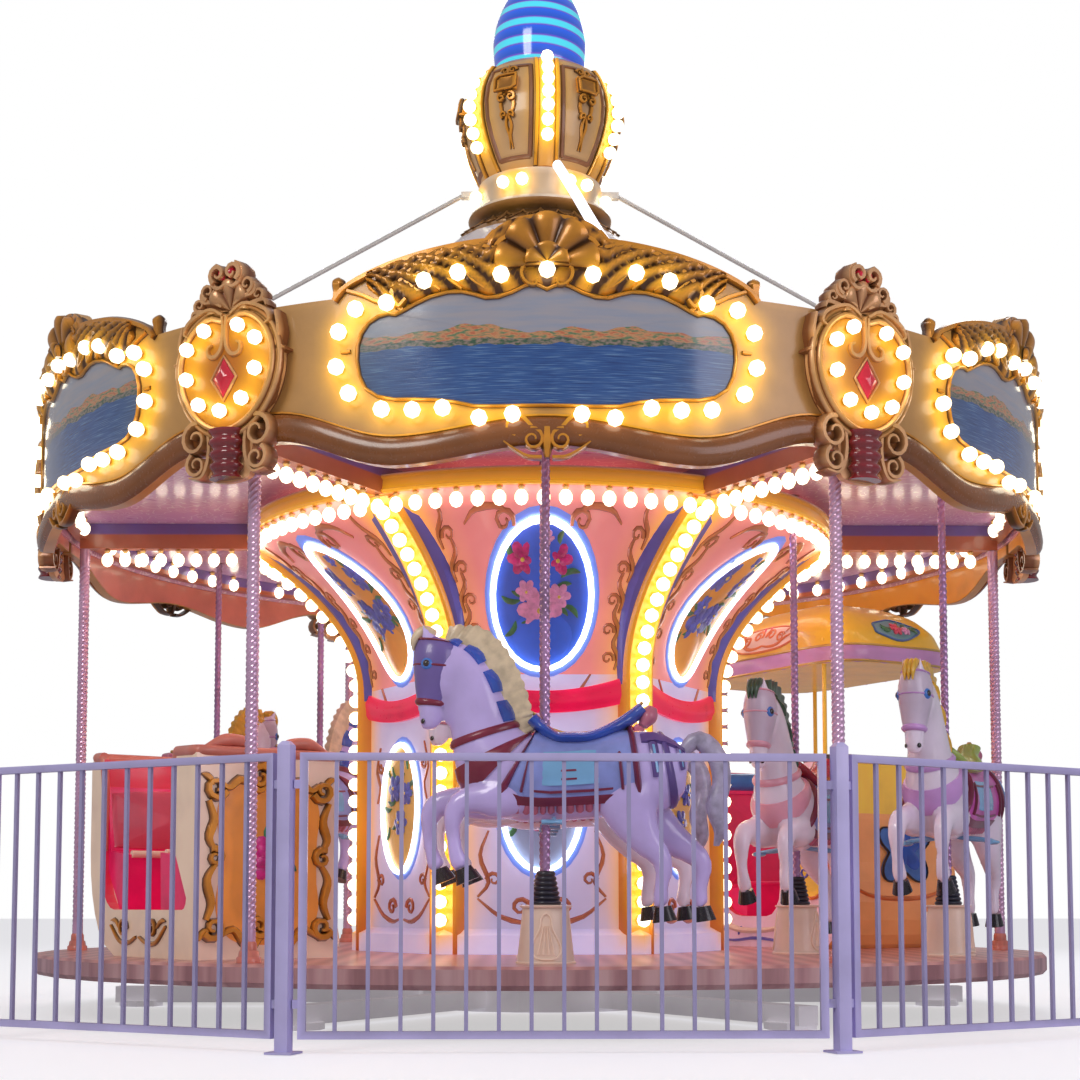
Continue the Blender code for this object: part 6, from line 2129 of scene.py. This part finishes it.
@dataclass
class Chariot:
    """Open cream tub with gilt scroll frames, painted fields, roses and red benches."""

    place: OnDeck = OnDeck(-55.0, 1.84)
    half: float = 0.575
    deep: float = 0.34
    low: float = 0.2815
    rim_rear: float = 1.15
    rim_front: float = 1.19

    def frame(self, width: float, low: float, high: float) -> list[Patch]:
        """Scroll frame round a field: C-scrolls at the crown, corners, waist and foot, with leaves between.

        Args:
            width: Half width of the frame.
            low: Height of its foot.
            high: Height of its crown.

        Returns:
            Its surfaces in design space.
        """
        tall, size = high - low, 0.12 * width + 0.02

        def at(*shares: float) -> Array:
            """Spots by their shares of the half width and of the height, in pairs."""
            return np.reshape(shares, (-1, 2)) * (width, tall) + (0, low)

        scrolls = (((0.17, 0.93), 1, 160, -1.2, 28, (0.024, 0.010), 0.030),
                   (at(0.02, 0.90, 0.20, 0.86, 0.45, 0.92, 0.66, 0.87, 0.80, 0.90), 28,
                    (0.013, 0.024, 0.013)), ((0.86, 0.87), 0.9, 200, 1.2, 26, (0.022, 0.010), 0.030),
                   (at(0.97, 0.80, 0.88, 0.70, 0.95, 0.60, 0.84, 0.53), 26, (0.013, 0.024, 0.011)),
                   ((0.86, 0.50), 0.75, 60, 1.2, 24, (0.021, 0.008), 0.028),
                   (at(0.84, 0.47, 0.97, 0.38, 0.90, 0.26, 0.98, 0.17), 26, (0.011, 0.024, 0.013)),
                   ((0.87, 0.13), 0.9, -30, -1.2, 26, (0.022, 0.010), 0.030),
                   (at(0.80, 0.08, 0.55, 0.12, 0.35, 0.04, 0.14, 0.09), 26, (0.013, 0.022, 0.013)),
                   ((0.16, 0.14), 0.85, -120, 1.2, 26, (0.021, 0.008), 0.030))
        half = []
        for first, *rest in scrolls:
            if len(rest) == 2:
                half.append(vine(first, *rest, 0.028))
            else:
                share, start, turns, count, wide, stand = rest
                half.append(curl(at(*first)[0], size * share, start, turns, count, wide, stand, 0.002))
        for spot, angle, share, wide, stand in (((0.04, 0.10), -60, 0.16, 0.024, 0.020),
                                                ((0.05, 0.95), 65, 0.10, 0.024, 0.020),
                                                ((0.90, 0.88), 40, 0.09, 0.018, 0.016),
                                                ((0.90, 0.12), -40, 0.09, 0.018, 0.016)):
            half.append(leaf(at(*spot)[0], angle, share * tall, wide, 0, 0.004, stand))
        return mirrored(half)

    def field(self, width: float, low: float, high: float) -> Patch:
        """Painted field of a frame: a soft shield, waisted at its middle."""
        turn = circle(64)
        pinch = 1 - 0.10 * np.exp(-(np.cos(turn) / 0.22) ** 2)
        wide, rise = swelled(turn, 0.55)
        outline = joined(wide * width * pinch, (high + low) / 2 + rise * (high - low) / 2)
        return plate(outline, -0.004, 0.004, 0.003, 5, 1)

    def bloom(self, middle: Sequence[float], radius: float) -> list[Patch]:
        """Large painted-relief rose with leaves."""
        made = rose(middle, radius, 2, 3, 0.010)
        for angle, length in ((80, 1.7), (120, 1.3), (200, 1.2), (265, 2.0), (290, 1.8), (330, 1.5),
                              (20, 1.2)):
            turn = math.radians(angle)
            root = (middle[0] + 0.55 * radius * math.cos(turn), middle[1] + 0.55 * radius * math.sin(turn))
            made.append(leaf(root, angle + 12, radius * length * 0.62, radius * 0.20, 4, 0.008, 0.004))
        return made

    def panels(self) -> list[Patch]:
        """Frames, fields and roses of the rear, the front, and both long sides."""
        made = []
        for face, width, low, high, size in ((facing("rear", 0.5665, 0.01 / 0.87, self.low), 0.295,
                                              self.low + 0.03, 1.11, 0.095),
                                             (facing("front", 0.5755), 0.25, 0.80, 1.14, 0.07)):
            made += moved([*self.frame(width, low, high), self.field(0.86 * width, low + 0.03, high - 0.05),
                           *self.bloom((0.0, low + 0.50 * (high - low)), size)], face)
        near, far = facing("near", self.deep + 0.0005), facing("far", self.deep + 0.0005)
        local = [*self.frame(0.24, 0.48, 1.10), self.field(0.84 * 0.24, 0.52, 1.05),
                 *self.bloom((0.0, 0.79), 0.08)]
        for middle in (-0.27, 0.24):
            made += [p.mapped(lambda points, middle=middle: near(points + [middle, 0, 0])) for p in local]
        trail = [curl((0.16, 0.405), 0.045, 180, -1.2, 26, [0.013, 0.005], 0.016, 0.002),
                 vine([(0.02, 0.37), (0.10, 0.345), (0.20, 0.35), (0.30, 0.42)], 26, [0.007, 0.013, 0.006],
                       0.015), leaf((0.21, 0.41), 20, 0.09, 0.013, 0, 0.003, 0.010)]
        return [*made, *moved(mirrored(trail), far)]

    def rolls(self) -> list[Patch]:
        """Rounded salmon roll along the top of the tub, open at the doorway, and its end scrolls."""
        x, y = self.half - 0.012, self.deep - 0.012
        rear, front = self.rim_rear + 0.010, self.rim_front + 0.010

        def level(spot: float) -> float:
            """Height of the roll at a place along the car."""
            return rear + (front - rear) * (spot + self.half) / (2 * self.half)

        loop = [(-0.36, y), (-0.46, y), (-x + 0.03, y), (-x, y - 0.03), (-x, 0.15), (-x, -0.15),
                (-x, -y + 0.03), (-x + 0.03, -y), (-0.30, -y), (0.0, -y), (0.30, -y), (x - 0.03, -y),
                (x, -y + 0.03), (x, -0.15), (x, 0.15), (x, y - 0.03), (x - 0.03, y), (0.50, y), (0.46, y)]
        made = [rope([(a, b, level(a)) for a, b in loop], 0.024, 220, 12)]
        for start, *drops in ((-0.36, (-0.338, 1.08), (-0.335, 0.96), (-0.338, 0.84)),
                              (0.46, (0.438, 1.08), (0.436, 0.92), (0.434, 0.76))):
            path = [(start, y, level(start)), *[(a, y, z) for a, z in drops]]
            made.append(rope(path, [0.022, 0.018, 0.015], 24, 10))
        for side in (-1, 1):
            path = [(0.012 - x, side * b, rear + rise)
                    for b, rise in ((0.05, 0.015), (0.11, 0.045), (0.20, 0.050), (0.29, 0.016))]
            made.append(rope(path, [0.010, 0.026, 0.028, 0.010], 24, 10))
        return made

    def benches(self) -> list[Patch]:
        """Rounded rest over each bench's back, and a roll along the front edge of each seat."""
        wide = self.deep - 0.045
        rest = rounded_back(wide, (0.77, 0.775, 0.80, 1.0, 1.035, 1.05), 60)
        local = plate(rest, -0.004, 0.016, 0.012, 6, 1, edge=0.010)
        made = []
        for side, edge, level, low_back, top_back in ((-1, -0.155, 0.738, -0.392, -0.462),
                                                      (1, 0.222, 0.742, 0.412, 0.462)):
            tilt = (top_back - low_back) / 0.30

            def upright(points: Array) -> Array:
                """Stand the rest on the bench's back, facing the other bench."""
                x = low_back + tilt * (points[..., 2] - 0.74) - side * points[..., 1]
                return joined(x, -side * points[..., 0], points[..., 2])
            made += [local.mapped(upright),
                     rope(joined(edge, np.linspace(-wide + 0.01, wide - 0.01, 6), level), 0.017, 20, 10, 2)]
        return made

    def build(self) -> None:
        """Make the chariot's dressing."""
        gilt = [Finish.GOLD, Finish.CHARIOT_FIELD, Finish.ROSE_MAGENTA, Finish.ROSE_PINK, Finish.LEAF]
        piece("chariot_ornament", moved(self.panels(), self.place), gilt)
        piece("chariot_rolls", moved(self.rolls(), self.place), [Finish.SALMON])
        piece("chariot_rests", moved(self.benches(), self.place),
              [Finish.SEAT, Finish.CUSHION, Finish.CHARIOT])
        dress("chariot_shell", Finish.TUB)
        dress("chariot_seat", Finish.SEAT)


@dataclass
class Carriage:
    """Roofed carriage: painted hull, scroll base, seat rest and domed canopy with its valance."""

    place: OnDeck = OnDeck(120.0, 1.80, 0.06)
    half: float = 0.675
    deep: float = 0.39
    low: float = 0.2815
    profile: tuple = ((1.789, 1.012), (1.84, 1.014), (1.885, 1.012), (1.93, 0.985), (1.98, 0.945),
                      (2.03, 0.865), (2.075, 0.775), (2.11, 0.655), (2.145, 0.515), (2.17, 0.33),
                      (2.186, 0.14), (2.19, 0.02))

    def outline(self, turn: Array) -> Array:
        """Rounded rectangle: each side distance is the 0.4 power of a cosine or sine."""
        y, x = swelled(turn, 0.4)
        return joined(x * self.half, y * (self.deep + 0.02))

    def evenly(self, count: int) -> Array:
        """The rounded rectangle sampled at even distances along it."""
        ring = self.outline(np.linspace(0, math.tau, 1441))
        run = np.concatenate([[0], np.cumsum(np.linalg.norm(np.diff(ring, axis=0), axis=1))])
        marks = np.linspace(0, run[-1], count, endpoint=False)
        return np.stack([np.interp(marks, run, ring[:, k]) for k in range(2)], -1)

    def on_dome(self, start: float, height: float) -> Callable[[Array], Array]:
        """Placement on the canopy: x runs round it from a share of its length, z climbs it from a height."""
        ring = self.evenly(720)
        ring = np.concatenate([ring, ring[:1]])
        length = float(np.linalg.norm(np.diff(ring, axis=0), axis=1).sum())
        heights, shares = spline(self.profile, 200).T
        climb = np.concatenate([[0], np.cumsum(np.hypot(np.diff(heights), 0.55 * np.diff(shares)))])

        def place(local: Array) -> Array:
            """Look up the ring by the distance round it and the profile by the distance up it."""
            share = (start + local[..., 0] / length) % 1.0
            x, y = (np.interp(share, np.linspace(0, 1, 721), ring[:, k]) for k in range(2))
            rise = np.interp(height, heights, climb) + local[..., 2]
            size = np.interp(rise, climb, shares) + local[..., 1] / 0.55
            return joined(x * size, y * size, np.interp(rise, climb, heights) + 0.5 * local[..., 1])
        return place

    def skin(self) -> list[Patch]:
        """Smooth canopy over the plain solid, and the valance round its foot with a bead on each edge."""
        ring = self.evenly(96)
        rows = spline(self.profile, 28)[:, None]
        scallop = 0.006 * np.abs(np.cos(np.linspace(0, 24 * np.pi, 96)))
        levels = np.array([1.789, 1.786, 1.80, 1.84, 1.878, 1.884, 1.880])[:, None]
        sizes = np.array([1.006, 1.020, 1.030, 1.026, 1.032, 1.024, 1.008])[:, None]
        band = joined(sizes * ring[:, 0], sizes * ring[:, 1], levels)
        band[:2, :, 2] += scallop
        path = np.concatenate([ring, ring[:1]]) * 1.03
        beads = [rope(joined(path[:, 0], path[:, 1], z), 0.007, 150, 6, 2, smooth=False) for z in (1.796,
                                                                                                    1.882)]
        return [grid(joined(rows[..., 1] * ring[:, 0], rows[..., 1] * ring[:, 1], rows[..., 0])),
                grid(np.concatenate([band, band[:1]]), caps=False, slot=1), *beads]

    def sprig(self) -> list[Patch]:
        """Blue-green cartouche with a coral rose and leaves."""
        turn = circle(60)
        edge = joined(0.165 * np.cos(turn) * (1 + 0.06 * np.cos(5 * turn)),
                      0.068 * np.sin(turn) * (1 + 0.10 * np.cos(4 * turn)))
        made = [plate(edge, -0.006, 0.004, 0.002, 5, 3), ridge(edge, 0.006, 0.006, 0.004, 6, 4, ring=True),
                *rose((0.0, 0.0), 0.040, 5, 2, 0.008), *rose((0.066, -0.010), 0.026, 6, 2, 0.008)]
        for x, angle in ((-0.045, 160), (-0.04, 200), (-0.05, 180), (0.10, 10), (0.09, -30), (0.02, 60),
                         (0.05, 40)):
            made.append(leaf((x, 0.0), angle, 0.062, 0.010, 7, 0.008, 0.003))
        return made

    def scrollwork(self) -> list[Patch]:
        """Cream field with orange scrolls and pink dabs."""
        turn = circle(60)
        edge = joined(0.30 * swelled(turn, 0.8)[1], 0.085 * np.sin(turn))
        half = [curl((0.06, 0.02), 0.045, 200, -1.3, 30, [0.011, 0.005], 0.006, 0.006, 8),
                curl((0.155, -0.01), 0.038, 20, 1.3, 30, [0.010, 0.004], 0.006, 0.006, 8),
                vine([(0.0, -0.05), (0.06, -0.06), (0.13, -0.055), (0.20, -0.02), (0.26, 0.0)], 30,
                     [0.005, 0.011, 0.004], 0.006, 0.006, 8),
                leaf((0.20, 0.02), 30, 0.06, 0.010, 8, 0.006, 0.003),
                leaf((0.03, 0.05), 70, 0.04, 0.008, 5, 0.006, 0.003)]
        return [plate(edge, -0.006, 0.003, 0.002, 5, 9), ridge(edge, 0.007, 0.006, 0.003, 6, 8, ring=True),
                *mirrored(half)]

    def star(self, middle: Sequence[float], reach: float) -> list[Patch]:
        """Five curved leaves round a boss, on a darker plate: the edge is a cosine raised to a power."""
        turn, stand = circle(120), 0.012
        edge = reach * (0.55 + 0.45 * np.abs(np.cos(2.5 * turn + 0.5 * np.sin(turn))) ** 1.6)
        outline = joined(middle[0] + edge * np.sin(turn), middle[1] + 1.05 * edge * np.cos(turn))
        inner = middle + (outline - middle) * 0.62
        return [plate(outline, -0.006, stand, 0.010, 6, 6),
                ridge(outline, 0.006, 0.008, stand, 6, 2, ring=True),
                plate(inner, 0.0, stand + 0.006, 0.012, 5, 7)]

    def hull_ornament(self) -> list[Patch]:
        """Scroll base and medallions of both long sides, and the blue star of the front."""
        def bead(points: Sequence[Sequence[float]], count: int, width: Sequence[float],
                 *rest: float) -> Patch:
            """Relief bead along a smooth curve, with its height, rise, sides and finish."""
            return ridge(spline(points, count), width, *rest)

        def scroll(x: float, z: float, radius: float, start: float, turns: float, count: int,
                   *rest: object) -> Patch:
            """Relief scroll, with its widths, height, rise, sides and finish."""
            return ridge(spiral((x, z), radius, start, turns, count), *rest)

        turn = circle(40)
        disc = joined(0.40 + 0.135 * np.sin(turn), 0.68 + 0.135 * np.cos(turn))
        local = [bead([(-0.66, 0.93), (-0.60, 0.70), (-0.50, 0.50), (-0.30, 0.385), (0.0, 0.375),
                       (0.25, 0.42)], 50, [0.010, 0.020, 0.010], 0.024, 0.0, 8, 0),
                 scroll(0.29, 0.475, 0.055, -90, 1.3, 36, [0.016, 0.006], 0.022, 0.002, 8, 0),
                 scroll(-0.575, 0.86, 0.050, 180, -1.2, 30, [0.014, 0.006], 0.020, 0.002, 8, 0),
                 bead([(-0.46, 0.33), (-0.30, 0.315), (-0.10, 0.33), (0.10, 0.32), (0.30, 0.335)], 40,
                      [0.005, 0.010, 0.005], 0.012, 0.0, 6, 1),
                 bead([(0.18, 0.90), (0.26, 0.93), (0.40, 0.90), (0.56, 0.93)], 30, [0.006, 0.012, 0.006],
                       0.014, 0.0, 6, 0), plate(disc, -0.004, 0.010, 0.010, 5, 4),
                 ridge(disc, 0.010, 0.012, 0.010, 8, 3, ring=True),
                 *[scroll(0.40 + s * 0.045, 0.685, 0.040, 90, s * 1.2, 26, [0.009, 0.004], 0.008, 0.020, 6,
                          5) for s in (-1, 1)],
                 *[leaf((-0.42 + 0.17 * number, 0.345), 40 + 20 * (number % 2), 0.055, 0.010, 1, 0.0, 0.008)
                    for number in range(5)]]
        made = [p for side in ("near", "far") for p in moved(local, facing(side, self.deep + 0.0005))]
        brow = bead([(-0.36, 0.62), (-0.20, 0.56), (0.0, 0.545), (0.20, 0.56), (0.36, 0.62)], 40,
                    [0.008, 0.014, 0.008], 0.014, -0.004, 8, 3)
        return [*made, *moved([*self.star((0.02, 0.80), 0.20), brow], facing("front", self.half - 0.0205))]

    def rims(self) -> list[Patch]:
        """Dark roll along the top of the cab, cream roll along the low rear part, open at the doorways."""
        y = self.deep - 0.012
        cab = [(0.335, -y, 1.285), (0.45, -y, 1.288), (0.615, -y, 1.285), (0.628, -y + 0.03, 1.283),
               (0.63, 0.0, 1.283), (0.628, y - 0.03, 1.283), (0.615, y, 1.285), (0.45, y, 1.288),
               (0.335, y, 1.285)]
        low = [(-0.43, -y, 0.988), (-0.55, -y, 0.992), (-0.64, -y, 0.998), (-0.662, -y + 0.03, 1.0),
               (-0.664, 0.0, 1.0), (-0.662, y - 0.03, 1.0), (-0.64, y, 0.998), (-0.45, y, 0.99),
               (-0.215, y, 0.988)]
        return [rope(cab, 0.018, 120, 10, 2), rope(low, 0.018, 120, 10, 0)]

    def rests(self) -> list[Patch]:
        """Moulded back rest in red, a blue roll above it and a seat pad's rounded edge."""
        wide = self.deep - 0.045
        line = rounded_back(wide, (0.63, 0.635, 0.66, 1.12, 1.15, 1.16), 70)
        rest = plate(line, -0.004, 0.016, 0.014, 6, 0, edge=0.010)

        def upright(points: Array) -> Array:
            """Stand the rest on the bench's leaning back."""
            x = -0.418 - 0.1765 * (points[..., 2] - 0.60) + points[..., 1]
            return joined(x, points[..., 0], points[..., 2])
        roll = [(-0.530, -wide + 0.006, 1.222), (-0.527, -wide + 0.03, 1.222), (-0.526, 0.0, 1.228),
                (-0.527, wide - 0.03, 1.222), (-0.530, wide - 0.006, 1.222)]
        edge = [(-0.222, -wide, 0.628), (-0.222, 0.0, 0.630), (-0.222, wide, 0.628)]
        return [rest.mapped(upright), rope(roll, [0.030, 0.050, 0.052, 0.050, 0.030], 40, 14, 1),
                rope(edge, 0.018, 20, 10, 0)]

    def build(self) -> None:
        """Make the carriage's dressing."""
        canopy = self.skin()
        for start, work in ((0.0, self.sprig()), (0.5, self.sprig()), (0.25, self.scrollwork()),
                            (0.75, self.scrollwork())):
            canopy += moved(work, self.on_dome(start, 1.985))
        piece("carriage_canopy", moved(canopy, self.place),
              [Finish.YELLOW, Finish.VALANCE, Finish.CHROME, Finish.LAGOON, Finish.LAGOON_EDGE,
               Finish.CUSHION, Finish.ROSE_PINK, Finish.LEAF, Finish.RIB, Finish.CHARIOT])
        piece("carriage_ornament", moved([*self.hull_ornament(), *self.rims()], self.place),
              [Finish.CHARIOT, Finish.PERIWINKLE, Finish.INK, Finish.RIB, Finish.YELLOW, Finish.PERIWINKLE,
               Finish.LAGOON_EDGE, Finish.SADDLE_BLUE])
        piece("carriage_rests", moved(self.rests(), self.place), [Finish.SEAT, Finish.CUSHION_BLUE])
        dress("carriage_hull", Finish.HULL)
        dress("carriage_seat", Finish.SEAT)
        dress("carriage_roof", Finish.YELLOW)


@dataclass
class Studio:
    """Pale floor, soft lights and the camera of the photograph."""

    eye: tuple = (-0.10, -9.25, 0.51)
    lens: float = 60.0
    tilt: float = 4.5
    yaw: float = -0.62
    shift: float = 0.207
    aim: tuple = (0, 0, 2)
    floor_light: float = 0.55
    world_light: float = 0.34
    halo: tuple = (("Threshold", 1.6), ("Strength", 0.22), ("Saturation", 1.0), ("Size", 0.26),
                   ("Tint", (1.0, 0.72, 0.34, 1.0)))

    def floor(self) -> None:
        """Large plain floor that isn't part of the ride."""
        half, level = 60.0, -0.002
        mesh = bpy.data.meshes.new("floor")
        corners = [(x, y, level) for x, y in ((-half, -half), (half, -half), (half, half), (-half, half))]
        mesh.from_pydata(corners, [], [(0, 1, 2, 3)])
        paint = Painter("floor_pale", 0.6)
        paint.colour(tint(206, 204, 212))
        seen = paint.node("LightPath").outputs["Is Camera Ray"]
        paint.glow((1.0, 1.0, 1.0), paint.math("MULTIPLY", seen, self.floor_light))
        mesh.materials.append(paint.material)
        self.added("floor", mesh)

    def added(self, name: str, data: bpy.types.ID) -> bpy.types.Object:
        """New object of the scene."""
        made = bpy.data.objects.new(name, data)
        bpy.context.scene.collection.objects.link(made)
        return made

    def lamp(self, name: str, spot: Sequence[float], size: float, power: float, colour: Colour) -> None:
        """Soft square lamp aimed at the middle of the ride."""
        data = bpy.data.lights.new(name, "AREA")
        data.size, data.energy, data.color = size, power, colour
        made = self.added(name, data)
        made.location = spot
        x, y, z = np.subtract(spot, self.aim)
        made.rotation_euler = (math.atan2(math.hypot(x, y), z), 0, math.atan2(y, x) + math.pi / 2)

    def bloom(self) -> None:
        """Warm halo round whatever is brighter than white."""
        scene = bpy.context.scene
        scene.use_nodes = True
        tree = scene.node_tree
        tree.nodes.clear()
        layers, glare, final = (tree.nodes.new(f"CompositorNode{kind}") for kind in ("RLayers", "Glare",
                                                                                      "Composite"))
        glare.glare_type = "BLOOM"
        for name, value in self.halo:
            glare.inputs[name].default_value = value
        tree.links.new(layers.outputs["Image"], glare.inputs["Image"])
        tree.links.new(glare.outputs["Image"], final.inputs["Image"])

    def backdrop(self) -> None:
        """Pale light from all round, and plain white where the camera sees past the ride."""
        world = bpy.data.worlds.new("pale_studio")
        world.use_nodes = True
        tree = world.node_tree
        pale, white = tree.nodes["Background"], tree.nodes.new("ShaderNodeBackground")
        pale.inputs["Color"].default_value = (0.95, 0.94, 1.0, 1.0)
        pale.inputs["Strength"].default_value = self.world_light
        white.inputs["Color"].default_value = (1.0, 1.0, 1.0, 1.0)
        choice = tree.nodes.new("ShaderNodeMixShader")
        tree.links.new(tree.nodes.new("ShaderNodeLightPath").outputs["Is Camera Ray"], choice.inputs[0])
        tree.links.new(pale.outputs[0], choice.inputs[1])
        tree.links.new(white.outputs[0], choice.inputs[2])
        tree.links.new(choice.outputs[0], tree.nodes["World Output"].inputs["Surface"])
        bpy.context.scene.world = world
        bpy.context.scene.view_settings.view_transform = "Standard"

    def build(self) -> None:
        """Make the floor, the lights and the camera."""
        self.floor()
        self.bloom()
        self.backdrop()
        self.lamp("key", (-6.0, -10.0, 8.0), 4.0, 400.0, (1.0, 0.97, 0.92))
        self.lamp("fill", (7.0, -8.0, 4.0), 5.0, 190.0, (0.95, 0.90, 1.0))
        self.lamp("back", (2.0, 9.0, 8.0), 6.0, 300.0, (1.0, 1.0, 1.0))
        data = bpy.data.cameras.new("camera")
        data.lens, data.sensor_width, data.shift_y = self.lens, 36.0, self.shift
        made = self.added("camera", data)
        made.location = self.eye
        made.rotation_euler = (math.radians(90 + self.tilt), 0, math.radians(self.yaw))
        bpy.context.scene.camera = made


def main() -> None:
    """Build the studio and dress every part of the ride."""
    logging.basicConfig(level=logging.INFO, format="%(message)s")
    for part in (Studio, RoundingBoards, Cartouches, Crown, Housing, Canopy, Supports, Horses, Chariot,
                  Carriage):
        part().build()


if __name__ == "__main__":
    main()
